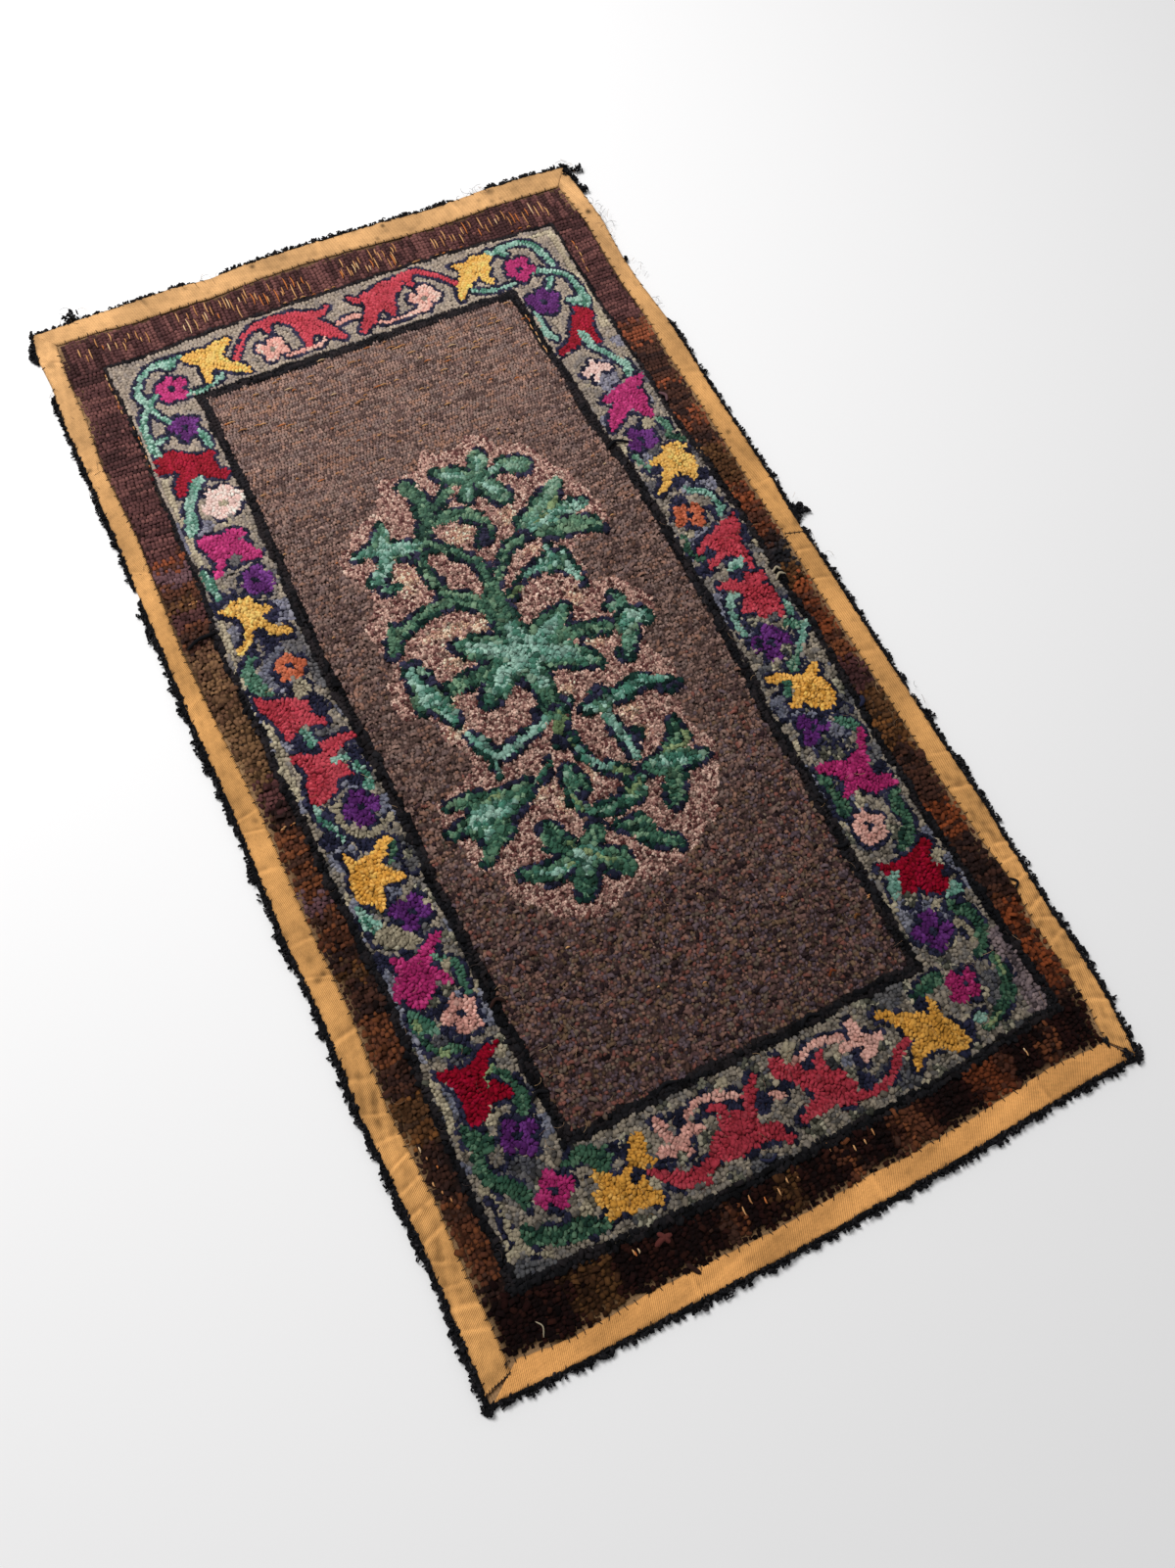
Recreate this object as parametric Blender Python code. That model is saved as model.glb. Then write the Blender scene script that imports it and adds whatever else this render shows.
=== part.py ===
"""Hooked rug: a hooked wool panel, a twill tape bound round its face, and a black looped edging."""
import math

import bmesh
import bpy
import numpy as np

MM = 0.001

# Heights above the floor, in millimetres
MARGIN = 4.2        # doubled ground cloth that the tape is laid on
TAPE = 1.2          # cotton twill tape, with its turned edge
CLEAR = 0.3         # play between pieces that touch
PILE_FAR = 6.0      # loops worn flat at the far end
PILE_NEAR = 7.6     # full loops at the near end
MOTIF_RISE = 2.0    # a motif hooked higher than its ground
FIELD_DIP = 0.8     # the centre field lies lower than the borders
SWELL = 0.35        # slow unevenness of the whole panel
CROWN = 0.25        # how far the tape is fuller along its middle
EDGING = 6.2        # looped yarn at the rim

# Where the panel changes, in millimetres along and across it
FAR_FLAT = 985.0    # beyond this the pile is flat
NEAR_FULL = 700.0   # on this side of it the pile is full
BORDER = 128.0      # from the tape's inner edge to the centre field
BORDER_SOFT = 14.0
SWELL_WAVES = ((47.0, 83.0), (29.0, -61.0))   # how slowly it changes across and along
NOMINAL_BOTTOM = 21.0
NOMINAL_TOP = 1172.0
CELLS_ACROSS = 34
CELLS_ALONG = 62
WALL_FOOT = 1.2     # from the tape's inner edge to the foot of the pile
WALL_TOP = 2.6      # and to its full height
MITRE_LIP = 0.4     # from a mitre to the next section of the tape

# The four sides: a row for each bend, with its place along the side and the tape's two edges there
SIDE_COLUMNS = ("along", "outer", "inner")
SIDES = {
    "left": (
        (0, 1.0, 28.0), (60, 1.6, 27.8), (120, 1.8, 25.5), (170, 0.0, 26.0), (210, -0.8, 23.0),
        (260, -4.2, 19.8), (350, -1.8, 23.0), (440, -5.6, 19.6), (560, -4.0, 19.6), (620, -5.0, 17.0),
        (690, -6.7, 13.5), (760, -6.2, 11.0), (840, -7.0, 12.5), (900, -6.0, 14.4), (1000, -6.9, 9.8),
        (1060, -9.0, 14.0), (1120, -6.2, 13.0), (1160, -8.4, 15.0), (1200, -4.0, 17.0),
    ),
    "right": (
        (0, 660.0, 639.5), (30, 663.5, 641.0), (60, 666.5, 645.0), (110, 668.0, 645.6), (150, 665.6, 643.0),
        (200, 665.6, 647.0), (250, 665.8, 643.0), (280, 667.0, 643.0), (330, 664.6, 639.4),
        (440, 662.0, 638.6), (560, 660.7, 636.7), (640, 658.6, 637.0), (700, 660.2, 635.0),
        (780, 659.0, 635.5), (840, 657.0, 635.5), (900, 658.0, 633.0), (945, 656.5, 635.6),
        (1010, 651.2, 631.8), (1050, 650.4, 632.2), (1110, 654.2, 634.0), (1160, 650.0, 629.0),
        (1200, 646.0, 625.0),
    ),
    "bottom": (
        (0, 3.0, 25.0), (40, 0.5, 24.4), (80, -0.7, 19.3), (120, -1.3, 20.0), (160, -2.0, 21.6),
        (220, -3.3, 20.6), (280, -4.7, 18.3), (340, -4.0, 20.0), (380, -3.0, 22.0), (420, -2.7, 20.7),
        (480, -1.3, 23.0), (540, 1.7, 26.7), (580, 3.0, 30.4), (620, 4.0, 28.0), (665, 4.4, 27.0),
    ),
    "top": (
        (-5, 1195.0, 1171.0), (20, 1195.0, 1171.0), (60, 1197.0, 1172.0), (100, 1198.0, 1169.0),
        (160, 1199.5, 1170.0), (200, 1196.5, 1170.0), (240, 1201.0, 1174.0), (300, 1202.0, 1176.0),
        (360, 1201.0, 1174.5), (420, 1200.0, 1170.5), (460, 1197.5, 1169.0), (500, 1198.5, 1170.5),
        (540, 1201.0, 1173.0), (600, 1201.0, 1172.0), (650, 1197.0, 1171.0),
    ),
}
OUTWARD = {"left": -1, "right": 1, "bottom": -1, "top": 1}

# Motifs that stand up from the pile: middle across and along, and half their size each way
BORDER_MOTIFS = (
    (94, 851, 22, 17), (110, 803, 16, 15), (86, 762, 22, 22), (98, 695, 18, 18), (80, 651, 22, 22),
    (86, 576, 24, 26), (107, 528, 18, 18), (92, 461, 22, 26), (110, 416, 18, 17), (94, 353, 22, 22),
    (111, 309, 20, 18), (95, 242, 22, 26), (114, 185, 18, 18), (122, 135, 18, 18), (180, 114, 26, 22),
    (239, 127, 18, 18), (284, 108, 30, 22),
)
MEDALLION_MOTIFS = (
    (324, 615, 62, 34), (215, 612, 20, 30), (438, 615, 20, 30), (250, 535, 28, 14), (400, 535, 32, 10),
    (223, 469, 34, 20), (401, 455, 30, 20), (284, 396, 38, 32), (350, 385, 22, 20),
)

# Runs of tape: the side, then where its outer and inner edges start and end along that side.
# The last column is how far a run starts short of its inner edge, under a stitched mitre.
RUNS = (
    ("binding_left", "left", 10.4, 17.8, 1194.6, 1171.2, 0.0),
    ("binding_top", "top", -4.2, 17.6, 645.2, 625.0, 0.0),
    ("binding_right_upper", "right", 627.2, 633.2, 1195.4, 1171.4, 0.0),
    ("binding_right_lower", "right", 5.6, 28.4, 626.8, 632.8, 0.0),
    ("binding_bottom", "bottom", 4.6, 28.6, 659.0, 639.0, 7.0),
)

# Creases that cross the tape: place along the side, and height
CREASES = {
    "left": ((58, 1.0), (78, 1.3), (98, 0.8), (118, 1.2), (142, 0.9), (166, 1.4), (188, 1.0), (210, 1.3),
             (232, 0.9), (256, 1.2), (288, 0.8), (330, 1.1), (392, 1.5), (428, 0.8), (505, 0.7), (548, 1.0),
             (566, 0.8), (700, 0.5), (860, 0.5), (1148, 1.2)),
    "right": ((62, 1.1), (98, 0.8), (130, 0.9), (150, 1.1), (166, 1.6), (196, 1.2), (216, 0.9), (234, 1.0),
              (300, 1.1), (342, 0.7), (470, 0.5), (566, 0.7), (604, 1.0), (700, 0.5), (860, 0.5)),
    "bottom": ((196, 0.5), (380, 0.5), (560, 0.6)),
    "top": ((120, 0.5), (330, 0.6), (500, 0.5)),
}
CREASE_HALF = 5.0
CREASE_MIDDLE = 0.7     # how much of a crease shows under the middle of the tape
CREASE_SIDE = 0.5       # and at its edges

# Stretches of edging that are left on the rim: the side, the stretch along it, and its width
STRETCHES = (
    ("edging_left_corner", "left", 1158, 1203, 5.0),
    ("edging_left_upper", "left", 846, 1109, 5.2),
    ("edging_left_lower", "left", -5, 832, 7.2),
    ("edging_bottom", "bottom", 1.6, 659, 6.0),
    ("edging_right_lower", "right", -3, 411, 7.0),
    ("edging_right_middle", "right", 420, 634, 6.2),
    ("edging_right_upper", "right", 640, 945, 5.2),
    ("edging_right_corner", "right", 1156, 1205, 7.0),
    ("edging_top_left", "top", -3, 181, 4.0),
    ("edging_top_middle", "top", 212, 503, 5.5),
    ("edging_top_right", "top", 547, 645, 5.5),
)
# Tufts that stick out of it: the side, place along it, extra reach, and half width
TUFTS = (
    ("left", 1170, 4.0, 12), ("left", 855, 2.5, 8), ("left", 700, 2.0, 14), ("left", 440, 2.5, 20),
    ("left", 240, 1.5, 14), ("left", 4, 1.5, 8), ("bottom", 195, 3.0, 22), ("bottom", 400, 2.0, 22),
    ("right", 1162, 9.0, 7), ("right", 1190, 4.0, 14), ("right", 700, 2.0, 14), ("right", 655, 15.0, 11),
    ("right", 386, 4.0, 8), ("right", 325, 3.0, 16), ("right", 262, 2.0, 10), ("right", 140, 3.0, 18),
    ("right", 68, 2.5, 16), ("right", 10, 2.0, 12), ("top", 42, 10.0, 10), ("top", 555, 5.0, 12),
)
# The edging's section: outward as a share of its width, and height as a share of its own
SECTION = ((0.0, 0.0), (0.0, 0.72), (0.45, 1.0), (0.9, 0.66), (1.0, 0.0))
LUMP = 0.2          # how far the loops vary in width and height
LUMP_TURNS = ((2.4, 0.62), (5.1, 0.38))     # how fast they vary from section to section, and each share
LOOP_STEP = 9.0     # the longest step between two sections
END_TAPER = 0.45    # the last section's size


def clear_scene():
    for thing in list(bpy.data.objects):
        bpy.data.objects.remove(thing, do_unlink=True)


def finish(name, colour, roughness):
    """A cloth or yarn material."""
    material = bpy.data.materials.new(name)
    material.use_nodes = True
    shader = material.node_tree.nodes["Principled BSDF"]
    shader.inputs["Base Color"].default_value = (*colour, 1.0)
    shader.inputs["Roughness"].default_value = roughness
    shader.inputs["Metallic"].default_value = 0.0
    return material


def smooth(value, low, high):
    """0 below low, 1 above high, and an even change between them."""
    t = np.clip((value - low) / (high - low), 0.0, 1.0)
    return t * t * (3.0 - 2.0 * t)


def edge(side, column, along):
    """The tape's outer or inner edge at places along one side."""
    table = dict(zip(SIDE_COLUMNS, zip(*SIDES[side])))
    return np.interp(along, table["along"], table[column])


def fullness(y):
    """How much of the pile is left, from 0 at the far end to 1 at the near end."""
    return 1.0 - smooth(y, NEAR_FULL, FAR_FLAT)


def mound(x, y, motif):
    """A rounded rise over one motif."""
    middle_x, middle_y, half_x, half_y = motif
    reach = ((x - middle_x) / half_x) ** 2 + ((y - middle_y) / half_y) ** 2
    return np.exp(-reach * reach)


def pile_height(x, y):
    """The top of the hooked pile."""
    left = edge("left", "inner", y)
    right = edge("right", "inner", y)
    near = fullness(y)
    inside = np.minimum(np.minimum(x - left, right - x), np.minimum(y - NOMINAL_BOTTOM, NOMINAL_TOP - y))
    height = PILE_FAR + (PILE_NEAR - PILE_FAR) * near
    height = height - FIELD_DIP * smooth(inside, BORDER - BORDER_SOFT, BORDER + BORDER_SOFT)
    rise = np.zeros_like(x)
    for motif in BORDER_MOTIFS:
        rise = np.maximum(rise, mound(x, y, motif))
        rise = np.maximum(rise, mound(left + right - x, y, motif))
    for motif in MEDALLION_MOTIFS:
        rise = np.maximum(rise, mound(x, y, motif))
    height = height + MOTIF_RISE * near * rise
    for across, along in SWELL_WAVES:
        height = height + SWELL * np.sin(x / across + y / along)
    return height


def panel_grid():
    """The points of the panel's top, column by column, with two rings of margin round the pile."""
    u, v = np.meshgrid(np.linspace(0, 1, CELLS_ACROSS + 1), np.linspace(0, 1, CELLS_ALONG + 1), indexing="ij")
    y = NOMINAL_BOTTOM + v * (NOMINAL_TOP - NOMINAL_BOTTOM)
    left = edge("left", "inner", y) + WALL_TOP
    x = left + u * (edge("right", "inner", y) - WALL_TOP - left)
    bottom = edge("bottom", "inner", x) + WALL_TOP
    y = bottom + v * (edge("top", "inner", x) - WALL_TOP - bottom)
    z = np.pad(pile_height(x, y), 2, constant_values=MARGIN)
    x = np.pad(x, 2, mode="edge")
    y = np.pad(y, 2, mode="edge")
    x[1] = edge("left", "inner", y[1]) + WALL_FOOT
    x[-2] = edge("right", "inner", y[-2]) - WALL_FOOT
    x[0] = edge("left", "outer", y[0])
    x[-1] = edge("right", "outer", y[-1])
    y[:, 1] = edge("bottom", "inner", x[:, 1]) + WALL_FOOT
    y[:, -2] = edge("top", "inner", x[:, -2]) - WALL_FOOT
    y[:, 0] = edge("bottom", "outer", x[:, 0])
    y[:, -1] = edge("top", "outer", x[:, -1])
    return x, y, z


def rims(x, y):
    """Each side of the panel as built: places along it, its rim, and the foot of its pile."""
    return {
        "left": (y[0], x[0], y[1], x[1]),
        "right": (y[-1], x[-1], y[-2], x[-2]),
        "bottom": (x[:, 0], y[:, 0], x[:, 1], y[:, 1]),
        "top": (x[:, -1], y[:, -1], x[:, -2], y[:, -2]),
    }


def spot(side, along, across, height):
    """A point given by its place along a side and across it."""
    if side in ("left", "right"):
        return (across, along, height)
    return (along, across, height)


def make_object(name, points, faces, material):
    """One closed solid from points in millimetres."""
    mesh = bpy.data.meshes.new(name)
    mesh.from_pydata([tuple(c * MM for c in point) for point in points], [], faces)
    mesh.materials.append(material)
    tool = bmesh.new()
    tool.from_mesh(mesh)
    bmesh.ops.recalc_face_normals(tool, faces=tool.faces)
    tool.to_mesh(mesh)
    tool.free()
    solid = bpy.data.objects.new(name, mesh)
    bpy.context.collection.objects.link(solid)
    return solid


def loft(name, rings, material):
    """A closed solid through rings with the same number of points, capped at both ends."""
    count = len(rings[0])
    points = [point for ring in rings for point in ring]
    faces = []
    for k in range(len(rings) - 1):
        for i in range(count):
            a = k * count + i
            b = k * count + (i + 1) % count
            faces.append((a, b, b + count, a + count))
    last = (len(rings) - 1) * count
    faces.append(tuple(range(count)))
    faces.append(tuple(last + i for i in range(count)))
    return make_object(name, points, faces, material)


def make_panel(x, y, z, material):
    """The hooked panel: relief on top, flat underneath, upright at its rim."""
    columns, rows = x.shape
    points = list(zip(x.ravel(), y.ravel(), z.ravel()))
    faces = []
    for i in range(columns - 1):
        for j in range(rows - 1):
            a = i * rows + j
            faces.append((a, a + rows, a + rows + 1, a + 1))
    around = [i * rows for i in range(columns)]
    around += [(columns - 1) * rows + j for j in range(1, rows)]
    around += [i * rows + rows - 1 for i in range(columns - 2, -1, -1)]
    around += [j for j in range(rows - 2, 0, -1)]
    below = len(points)
    points += [(points[a][0], points[a][1], 0.0) for a in around]
    count = len(around)
    for k in range(count):
        after = (k + 1) % count
        faces.append((around[k], around[after], below + after, below + k))
    faces.append(tuple(below + k for k in range(count)))
    return make_object("hooked_panel", points, faces, material)


def crease_lift(side, along):
    """How far the creases lift the tape at one place."""
    lift = 0.0
    for place, height in CREASES[side]:
        lift = max(lift, height * (1.0 - abs(along - place) / CREASE_HALF))
    return lift


def tape_ring(side, outer_point, inner_point, lift):
    """The tape's section between its two edges, a little crowned."""
    base = MARGIN + CLEAR
    middle = [(a + b) / 2 for a, b in zip(outer_point, inner_point)]
    top = base + TAPE
    return [
        spot(side, *outer_point, base),
        spot(side, *middle, base + lift * CREASE_MIDDLE),
        spot(side, *inner_point, base),
        spot(side, *inner_point, top + lift * CREASE_SIDE),
        spot(side, *middle, top + CROWN + lift),
        spot(side, *outer_point, top + lift * CREASE_SIDE),
    ]


def make_tape(run, rim, material):
    """One run of tape along a side, with its ends cut to the mitres."""
    name, side, outer_start, inner_start, outer_end, inner_end, short = run
    rim_along, rim_at, foot_along, foot_at = rim
    turned = OUTWARD[side] * WALL_FOOT

    def outer_edge(along):
        return (along, float(np.interp(along, rim_along, rim_at)))

    def inner_edge(along):
        return (along, float(np.interp(along, foot_along, foot_at)) + turned)

    first = max(outer_start, inner_start) + MITRE_LIP
    last = min(outer_end, inner_end) - MITRE_LIP
    places = set(rim_along) | set(foot_along) | {first, last}
    for place, _ in CREASES[side]:
        places |= {place - CREASE_HALF, float(place), place + CREASE_HALF}
    places = sorted(place for place in places if first <= place <= last)
    start_inner = inner_edge(inner_start)
    start_inner = (start_inner[0], start_inner[1] - short)
    rings = [tape_ring(side, outer_edge(outer_start), start_inner, 0.0)]
    for place in places:
        rings.append(tape_ring(side, outer_edge(place), inner_edge(place), crease_lift(side, place)))
    rings.append(tape_ring(side, outer_edge(outer_end), inner_edge(inner_end), 0.0))
    return loft(name, rings, material)


def tuft_reach(side, along):
    """How far a tuft sticks out at one place."""
    reach = 0.0
    for tuft_side, place, extra, half in TUFTS:
        if tuft_side == side:
            reach = max(reach, extra * max(0.0, 1.0 - abs(along - place) / half))
    return reach


def make_edging(stretch, rim, material):
    """One lumpy stretch of looped yarn beside the rim, lying on the floor."""
    name, side, start, end, width = stretch
    rim_along, rim_at = rim[0], rim[1]
    places = set(rim_along) | {float(start), float(end)}
    for tuft_side, place, _, _ in TUFTS:
        if tuft_side == side:
            places.add(float(place))
    places = sorted(place for place in places if start <= place <= end)
    halfway = [(a + b) / 2 for a, b in zip(places, places[1:]) if b - a > LOOP_STEP]
    places = sorted(places + halfway)
    rings = []
    for k, along in enumerate(places):
        lump = 1.0 + LUMP * sum(share * math.sin(turn * k + start) for turn, share in LUMP_TURNS)
        size = END_TAPER if k in (0, len(places) - 1) else 1.0
        wide = (width * lump + tuft_reach(side, along)) * size
        high = EDGING * (2.0 - lump) * size
        base = float(np.interp(along, rim_along, rim_at)) + OUTWARD[side] * CLEAR
        rings.append([spot(side, along, base + OUTWARD[side] * wide * out, high * up) for out, up in SECTION])
    return loft(name, rings, material)


def settle(solids):
    """Move everything so that the origin is under the middle of the rug."""
    corners = np.array([vertex.co for solid in solids for vertex in solid.data.vertices])
    middle = (corners.min(axis=0) + corners.max(axis=0)) / 2
    for solid in solids:
        for vertex in solid.data.vertices:
            vertex.co.x -= middle[0]
            vertex.co.y -= middle[1]
        solid.data.update()


def main():
    clear_scene()
    wool = finish("hooked_wool", (0.13, 0.085, 0.075), 0.95)
    cotton = finish("twill_tape", (0.62, 0.36, 0.15), 0.85)
    yarn = finish("black_yarn", (0.01, 0.01, 0.012), 0.95)
    x, y, z = panel_grid()
    rim = rims(x, y)
    solids = [make_panel(x, y, z, wool)]
    for run in RUNS:
        solids.append(make_tape(run, rim[run[1]], cotton))
    for stretch in STRETCHES:
        solids.append(make_edging(stretch, rim[stretch[1]], yarn))
    settle(solids)


main()
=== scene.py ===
"""Hooked rug: wool loops on a ground cloth, a twill tape round its face and a black looped edging."""

import math

import bpy
import numpy as np
from mathutils import Euler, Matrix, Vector
from mathutils.bvhtree import BVHTree


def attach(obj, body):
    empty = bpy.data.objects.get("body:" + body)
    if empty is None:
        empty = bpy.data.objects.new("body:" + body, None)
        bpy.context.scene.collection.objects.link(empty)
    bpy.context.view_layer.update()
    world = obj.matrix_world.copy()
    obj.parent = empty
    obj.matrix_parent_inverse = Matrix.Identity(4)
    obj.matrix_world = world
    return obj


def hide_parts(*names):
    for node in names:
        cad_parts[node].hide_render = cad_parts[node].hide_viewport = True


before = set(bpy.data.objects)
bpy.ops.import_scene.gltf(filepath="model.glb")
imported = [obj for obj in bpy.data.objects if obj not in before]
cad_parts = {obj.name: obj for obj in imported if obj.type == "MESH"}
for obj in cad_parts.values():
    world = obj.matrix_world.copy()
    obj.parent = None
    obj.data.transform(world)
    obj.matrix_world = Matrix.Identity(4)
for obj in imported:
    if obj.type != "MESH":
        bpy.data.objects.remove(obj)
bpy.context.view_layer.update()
RNG = np.random.default_rng(17)

# The tables are in millimetres from the rug's near left corner: x across it, y along it
MID_X = 331.62
MID_Y = 599.30
MM = 0.001

# Heights, in millimetres
TAPE_LOW = 4.6
TAPE_TOP = 5.8
GROUND_DROP = 2.6       # from the top of the pile to the feet of its loops
MARGIN_TOP = 4.2        # the cloth under the tape
PILE_LOWEST = 5.6
TOP_STEP = 6.0          # how far apart the panel's height is read

# Along the rug: where the pile is full, where it is worn flat, and where the border's rows turn at the ends
PILE_FULL = 640.0
PILE_FLAT = 985.0
NEAR_END = 73
FAR_END = 1124

# The grid that the design is drawn on, one cell for each millimetre
GRID_X = -12
GRID_Y = -12
CELLS_X = 692
CELLS_Y = 1224
REACH = 34

# The four sides: place along the side, and the tape's outer and inner edges there
SIDES = {
    "left": (
        (0, 1.0, 28.0), (60, 1.6, 27.8), (120, 1.8, 25.5), (170, 0.0, 26.0), (210, -0.8, 23.0),
        (260, -4.2, 19.8), (350, -1.8, 23.0), (440, -5.6, 19.6), (560, -4.0, 19.6), (620, -5.0, 17.0),
        (690, -6.7, 13.5), (760, -6.2, 11.0), (840, -7.0, 12.5), (900, -6.0, 14.4), (1000, -6.9, 9.8),
        (1060, -9.0, 14.0), (1120, -6.2, 13.0), (1160, -8.4, 15.0), (1200, -4.0, 17.0),
    ),
    "right": (
        (0, 660.0, 639.5), (30, 663.5, 641.0), (60, 666.5, 645.0), (110, 668.0, 645.6),
        (150, 665.6, 643.0), (200, 665.6, 647.0), (250, 665.8, 643.0), (280, 667.0, 643.0),
        (330, 664.6, 639.4), (440, 662.0, 638.6), (560, 660.7, 636.7), (640, 658.6, 637.0),
        (700, 660.2, 635.0), (780, 659.0, 635.5), (840, 657.0, 635.5), (900, 658.0, 633.0),
        (945, 656.5, 635.6), (1010, 651.2, 631.8), (1050, 650.4, 632.2), (1110, 654.2, 634.0),
        (1160, 650.0, 629.0), (1200, 646.0, 625.0),
    ),
    "bottom": (
        (0, 3.0, 25.0), (40, 0.5, 24.4), (80, -0.7, 19.3), (120, -1.3, 20.0), (160, -2.0, 21.6),
        (220, -3.3, 20.6), (280, -4.7, 18.3), (340, -4.0, 20.0), (380, -3.0, 22.0), (420, -2.7, 20.7),
        (480, -1.3, 23.0), (540, 1.7, 26.7), (580, 3.0, 30.4), (620, 4.0, 28.0), (665, 4.4, 27.0),
    ),
    "top": (
        (-5, 1195.0, 1171.0), (20, 1195.0, 1171.0), (60, 1197.0, 1172.0), (100, 1198.0, 1169.0),
        (160, 1199.5, 1170.0), (200, 1196.5, 1170.0), (240, 1201.0, 1174.0), (300, 1202.0, 1176.0),
        (360, 1201.0, 1174.5), (420, 1200.0, 1170.5), (460, 1197.5, 1169.0), (500, 1198.5, 1170.5),
        (540, 1201.0, 1173.0), (600, 1201.0, 1172.0), (650, 1197.0, 1171.0),
    ),
}
OUTWARD = {"left": -1, "right": 1, "bottom": -1, "top": 1}
LONG_SIDES = ("left", "right")

# Runs of tape: the side, where its outer and inner edges start and end, and how far it starts short
RUNS = (
    ("binding_left", "left", 10.4, 17.8, 1195.4, 1172.1, 0.0),
    ("binding_top", "top", -4.9, 16.8, 646.2, 626.1, 0.0),
    ("binding_right_upper", "right", 627.2, 633.2, 1196.3, 1172.4, 0.0),
    ("binding_right_lower", "right", 5.6, 28.4, 626.8, 632.8, 0.0),
    ("binding_bottom", "bottom", 4.6, 28.6, 659.0, 639.0, 7.0),
)

# Creases that cross the tape: place along the side, and height
CREASES = {
    "left": (
        (58, 1.0), (78, 1.3), (98, 0.8), (118, 1.2), (142, 0.9), (166, 1.4), (188, 1.0), (210, 1.3),
        (232, 0.9), (256, 1.2), (288, 0.8), (330, 1.1), (392, 1.5), (428, 0.8), (505, 0.7), (548, 1.0),
        (566, 0.8), (700, 0.5), (860, 0.5), (1148, 1.2),
    ),
    "right": (
        (62, 1.1), (98, 0.8), (130, 0.9), (150, 1.1), (166, 1.6), (196, 1.2), (216, 0.9), (234, 1.0),
        (300, 1.1), (342, 0.7), (470, 0.5), (566, 0.7), (604, 1.0), (700, 0.5), (860, 0.5),
    ),
    "bottom": ((196, 0.5), (380, 0.5), (560, 0.6)),
    "top": ((120, 0.5), (330, 0.6), (500, 0.5)),
}

# Edging that is left: the piece, its side, the stretch along it, its width, and how thick it lies
STRETCHES = (
    ("edging_left_corner", "left", 1158, 1203, 5.0, 1.0),
    ("edging_left_upper", "left", 846, 1109, 5.2, 0.8),
    ("edging_left_lower", "left", -5, 832, 7.2, 1.0),
    ("edging_bottom", "bottom", 1.6, 659, 6.0, 1.0),
    ("edging_right_lower", "right", -3, 411, 7.0, 1.0),
    ("edging_right_middle", "right", 420, 634, 6.2, 1.0),
    ("edging_right_upper", "right", 640, 945, 5.2, 0.8),
    ("edging_right_corner", "right", 1156, 1205, 7.0, 1.0),
    ("edging_top_left", "top", -3, 181, 4.0, 0.6),
    ("edging_top_middle", "top", 212, 503, 5.5, 0.9),
    ("edging_top_right", "top", 547, 645, 5.5, 0.8),
)

# Middles of the two black lines: place along the side, and place across it
OUTER_LINE = {
    "left": (
        (80, 57), (120, 57), (200, 55), (280, 56), (340, 58), (420, 55), (500, 52), (560, 50), (640, 50),
        (700, 47), (760, 46.5), (800, 53), (860, 54), (940, 53), (1000, 57), (1120, 54),
    ),
    "right": (
        (85, 616), (140, 614), (200, 610), (260, 608), (320, 605.5), (380, 605.5), (440, 607), (500, 609),
        (560, 607), (640, 607.5), (700, 606), (760, 603), (820, 599), (880, 597.5), (940, 596.5),
        (1000, 595), (1110, 594.5),
    ),
    "bottom": (
        (57, 75), (100, 74), (140, 70.5), (180, 66.5), (240, 64), (300, 63), (440, 63), (500, 65),
        (540, 70), (580, 72), (615, 75),
    ),
    "top": (
        (55, 1122), (100, 1122), (150, 1126), (240, 1127), (300, 1128.5), (400, 1128.5), (460, 1128),
        (540, 1125), (590, 1121),
    ),
}
INNER_LINE = {
    "left": (
        (180, 150), (220, 147), (280, 143.5), (340, 144), (400, 141), (480, 140.5), (560, 139), (640, 134),
        (700, 132), (780, 134), (860, 136.5), (960, 136), (1040, 134),
    ),
    "right": (
        (165, 516), (200, 516), (280, 515), (340, 516), (400, 517), (460, 516), (520, 521), (580, 523.5),
        (640, 522), (720, 523), (780, 521), (840, 514.5), (900, 514), (960, 512), (1000, 510.5),
        (1040, 508),
    ),
    "bottom": ((145, 164.5), (520, 164.5)),
    "top": ((128, 1046), (513, 1046)),
}

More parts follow.
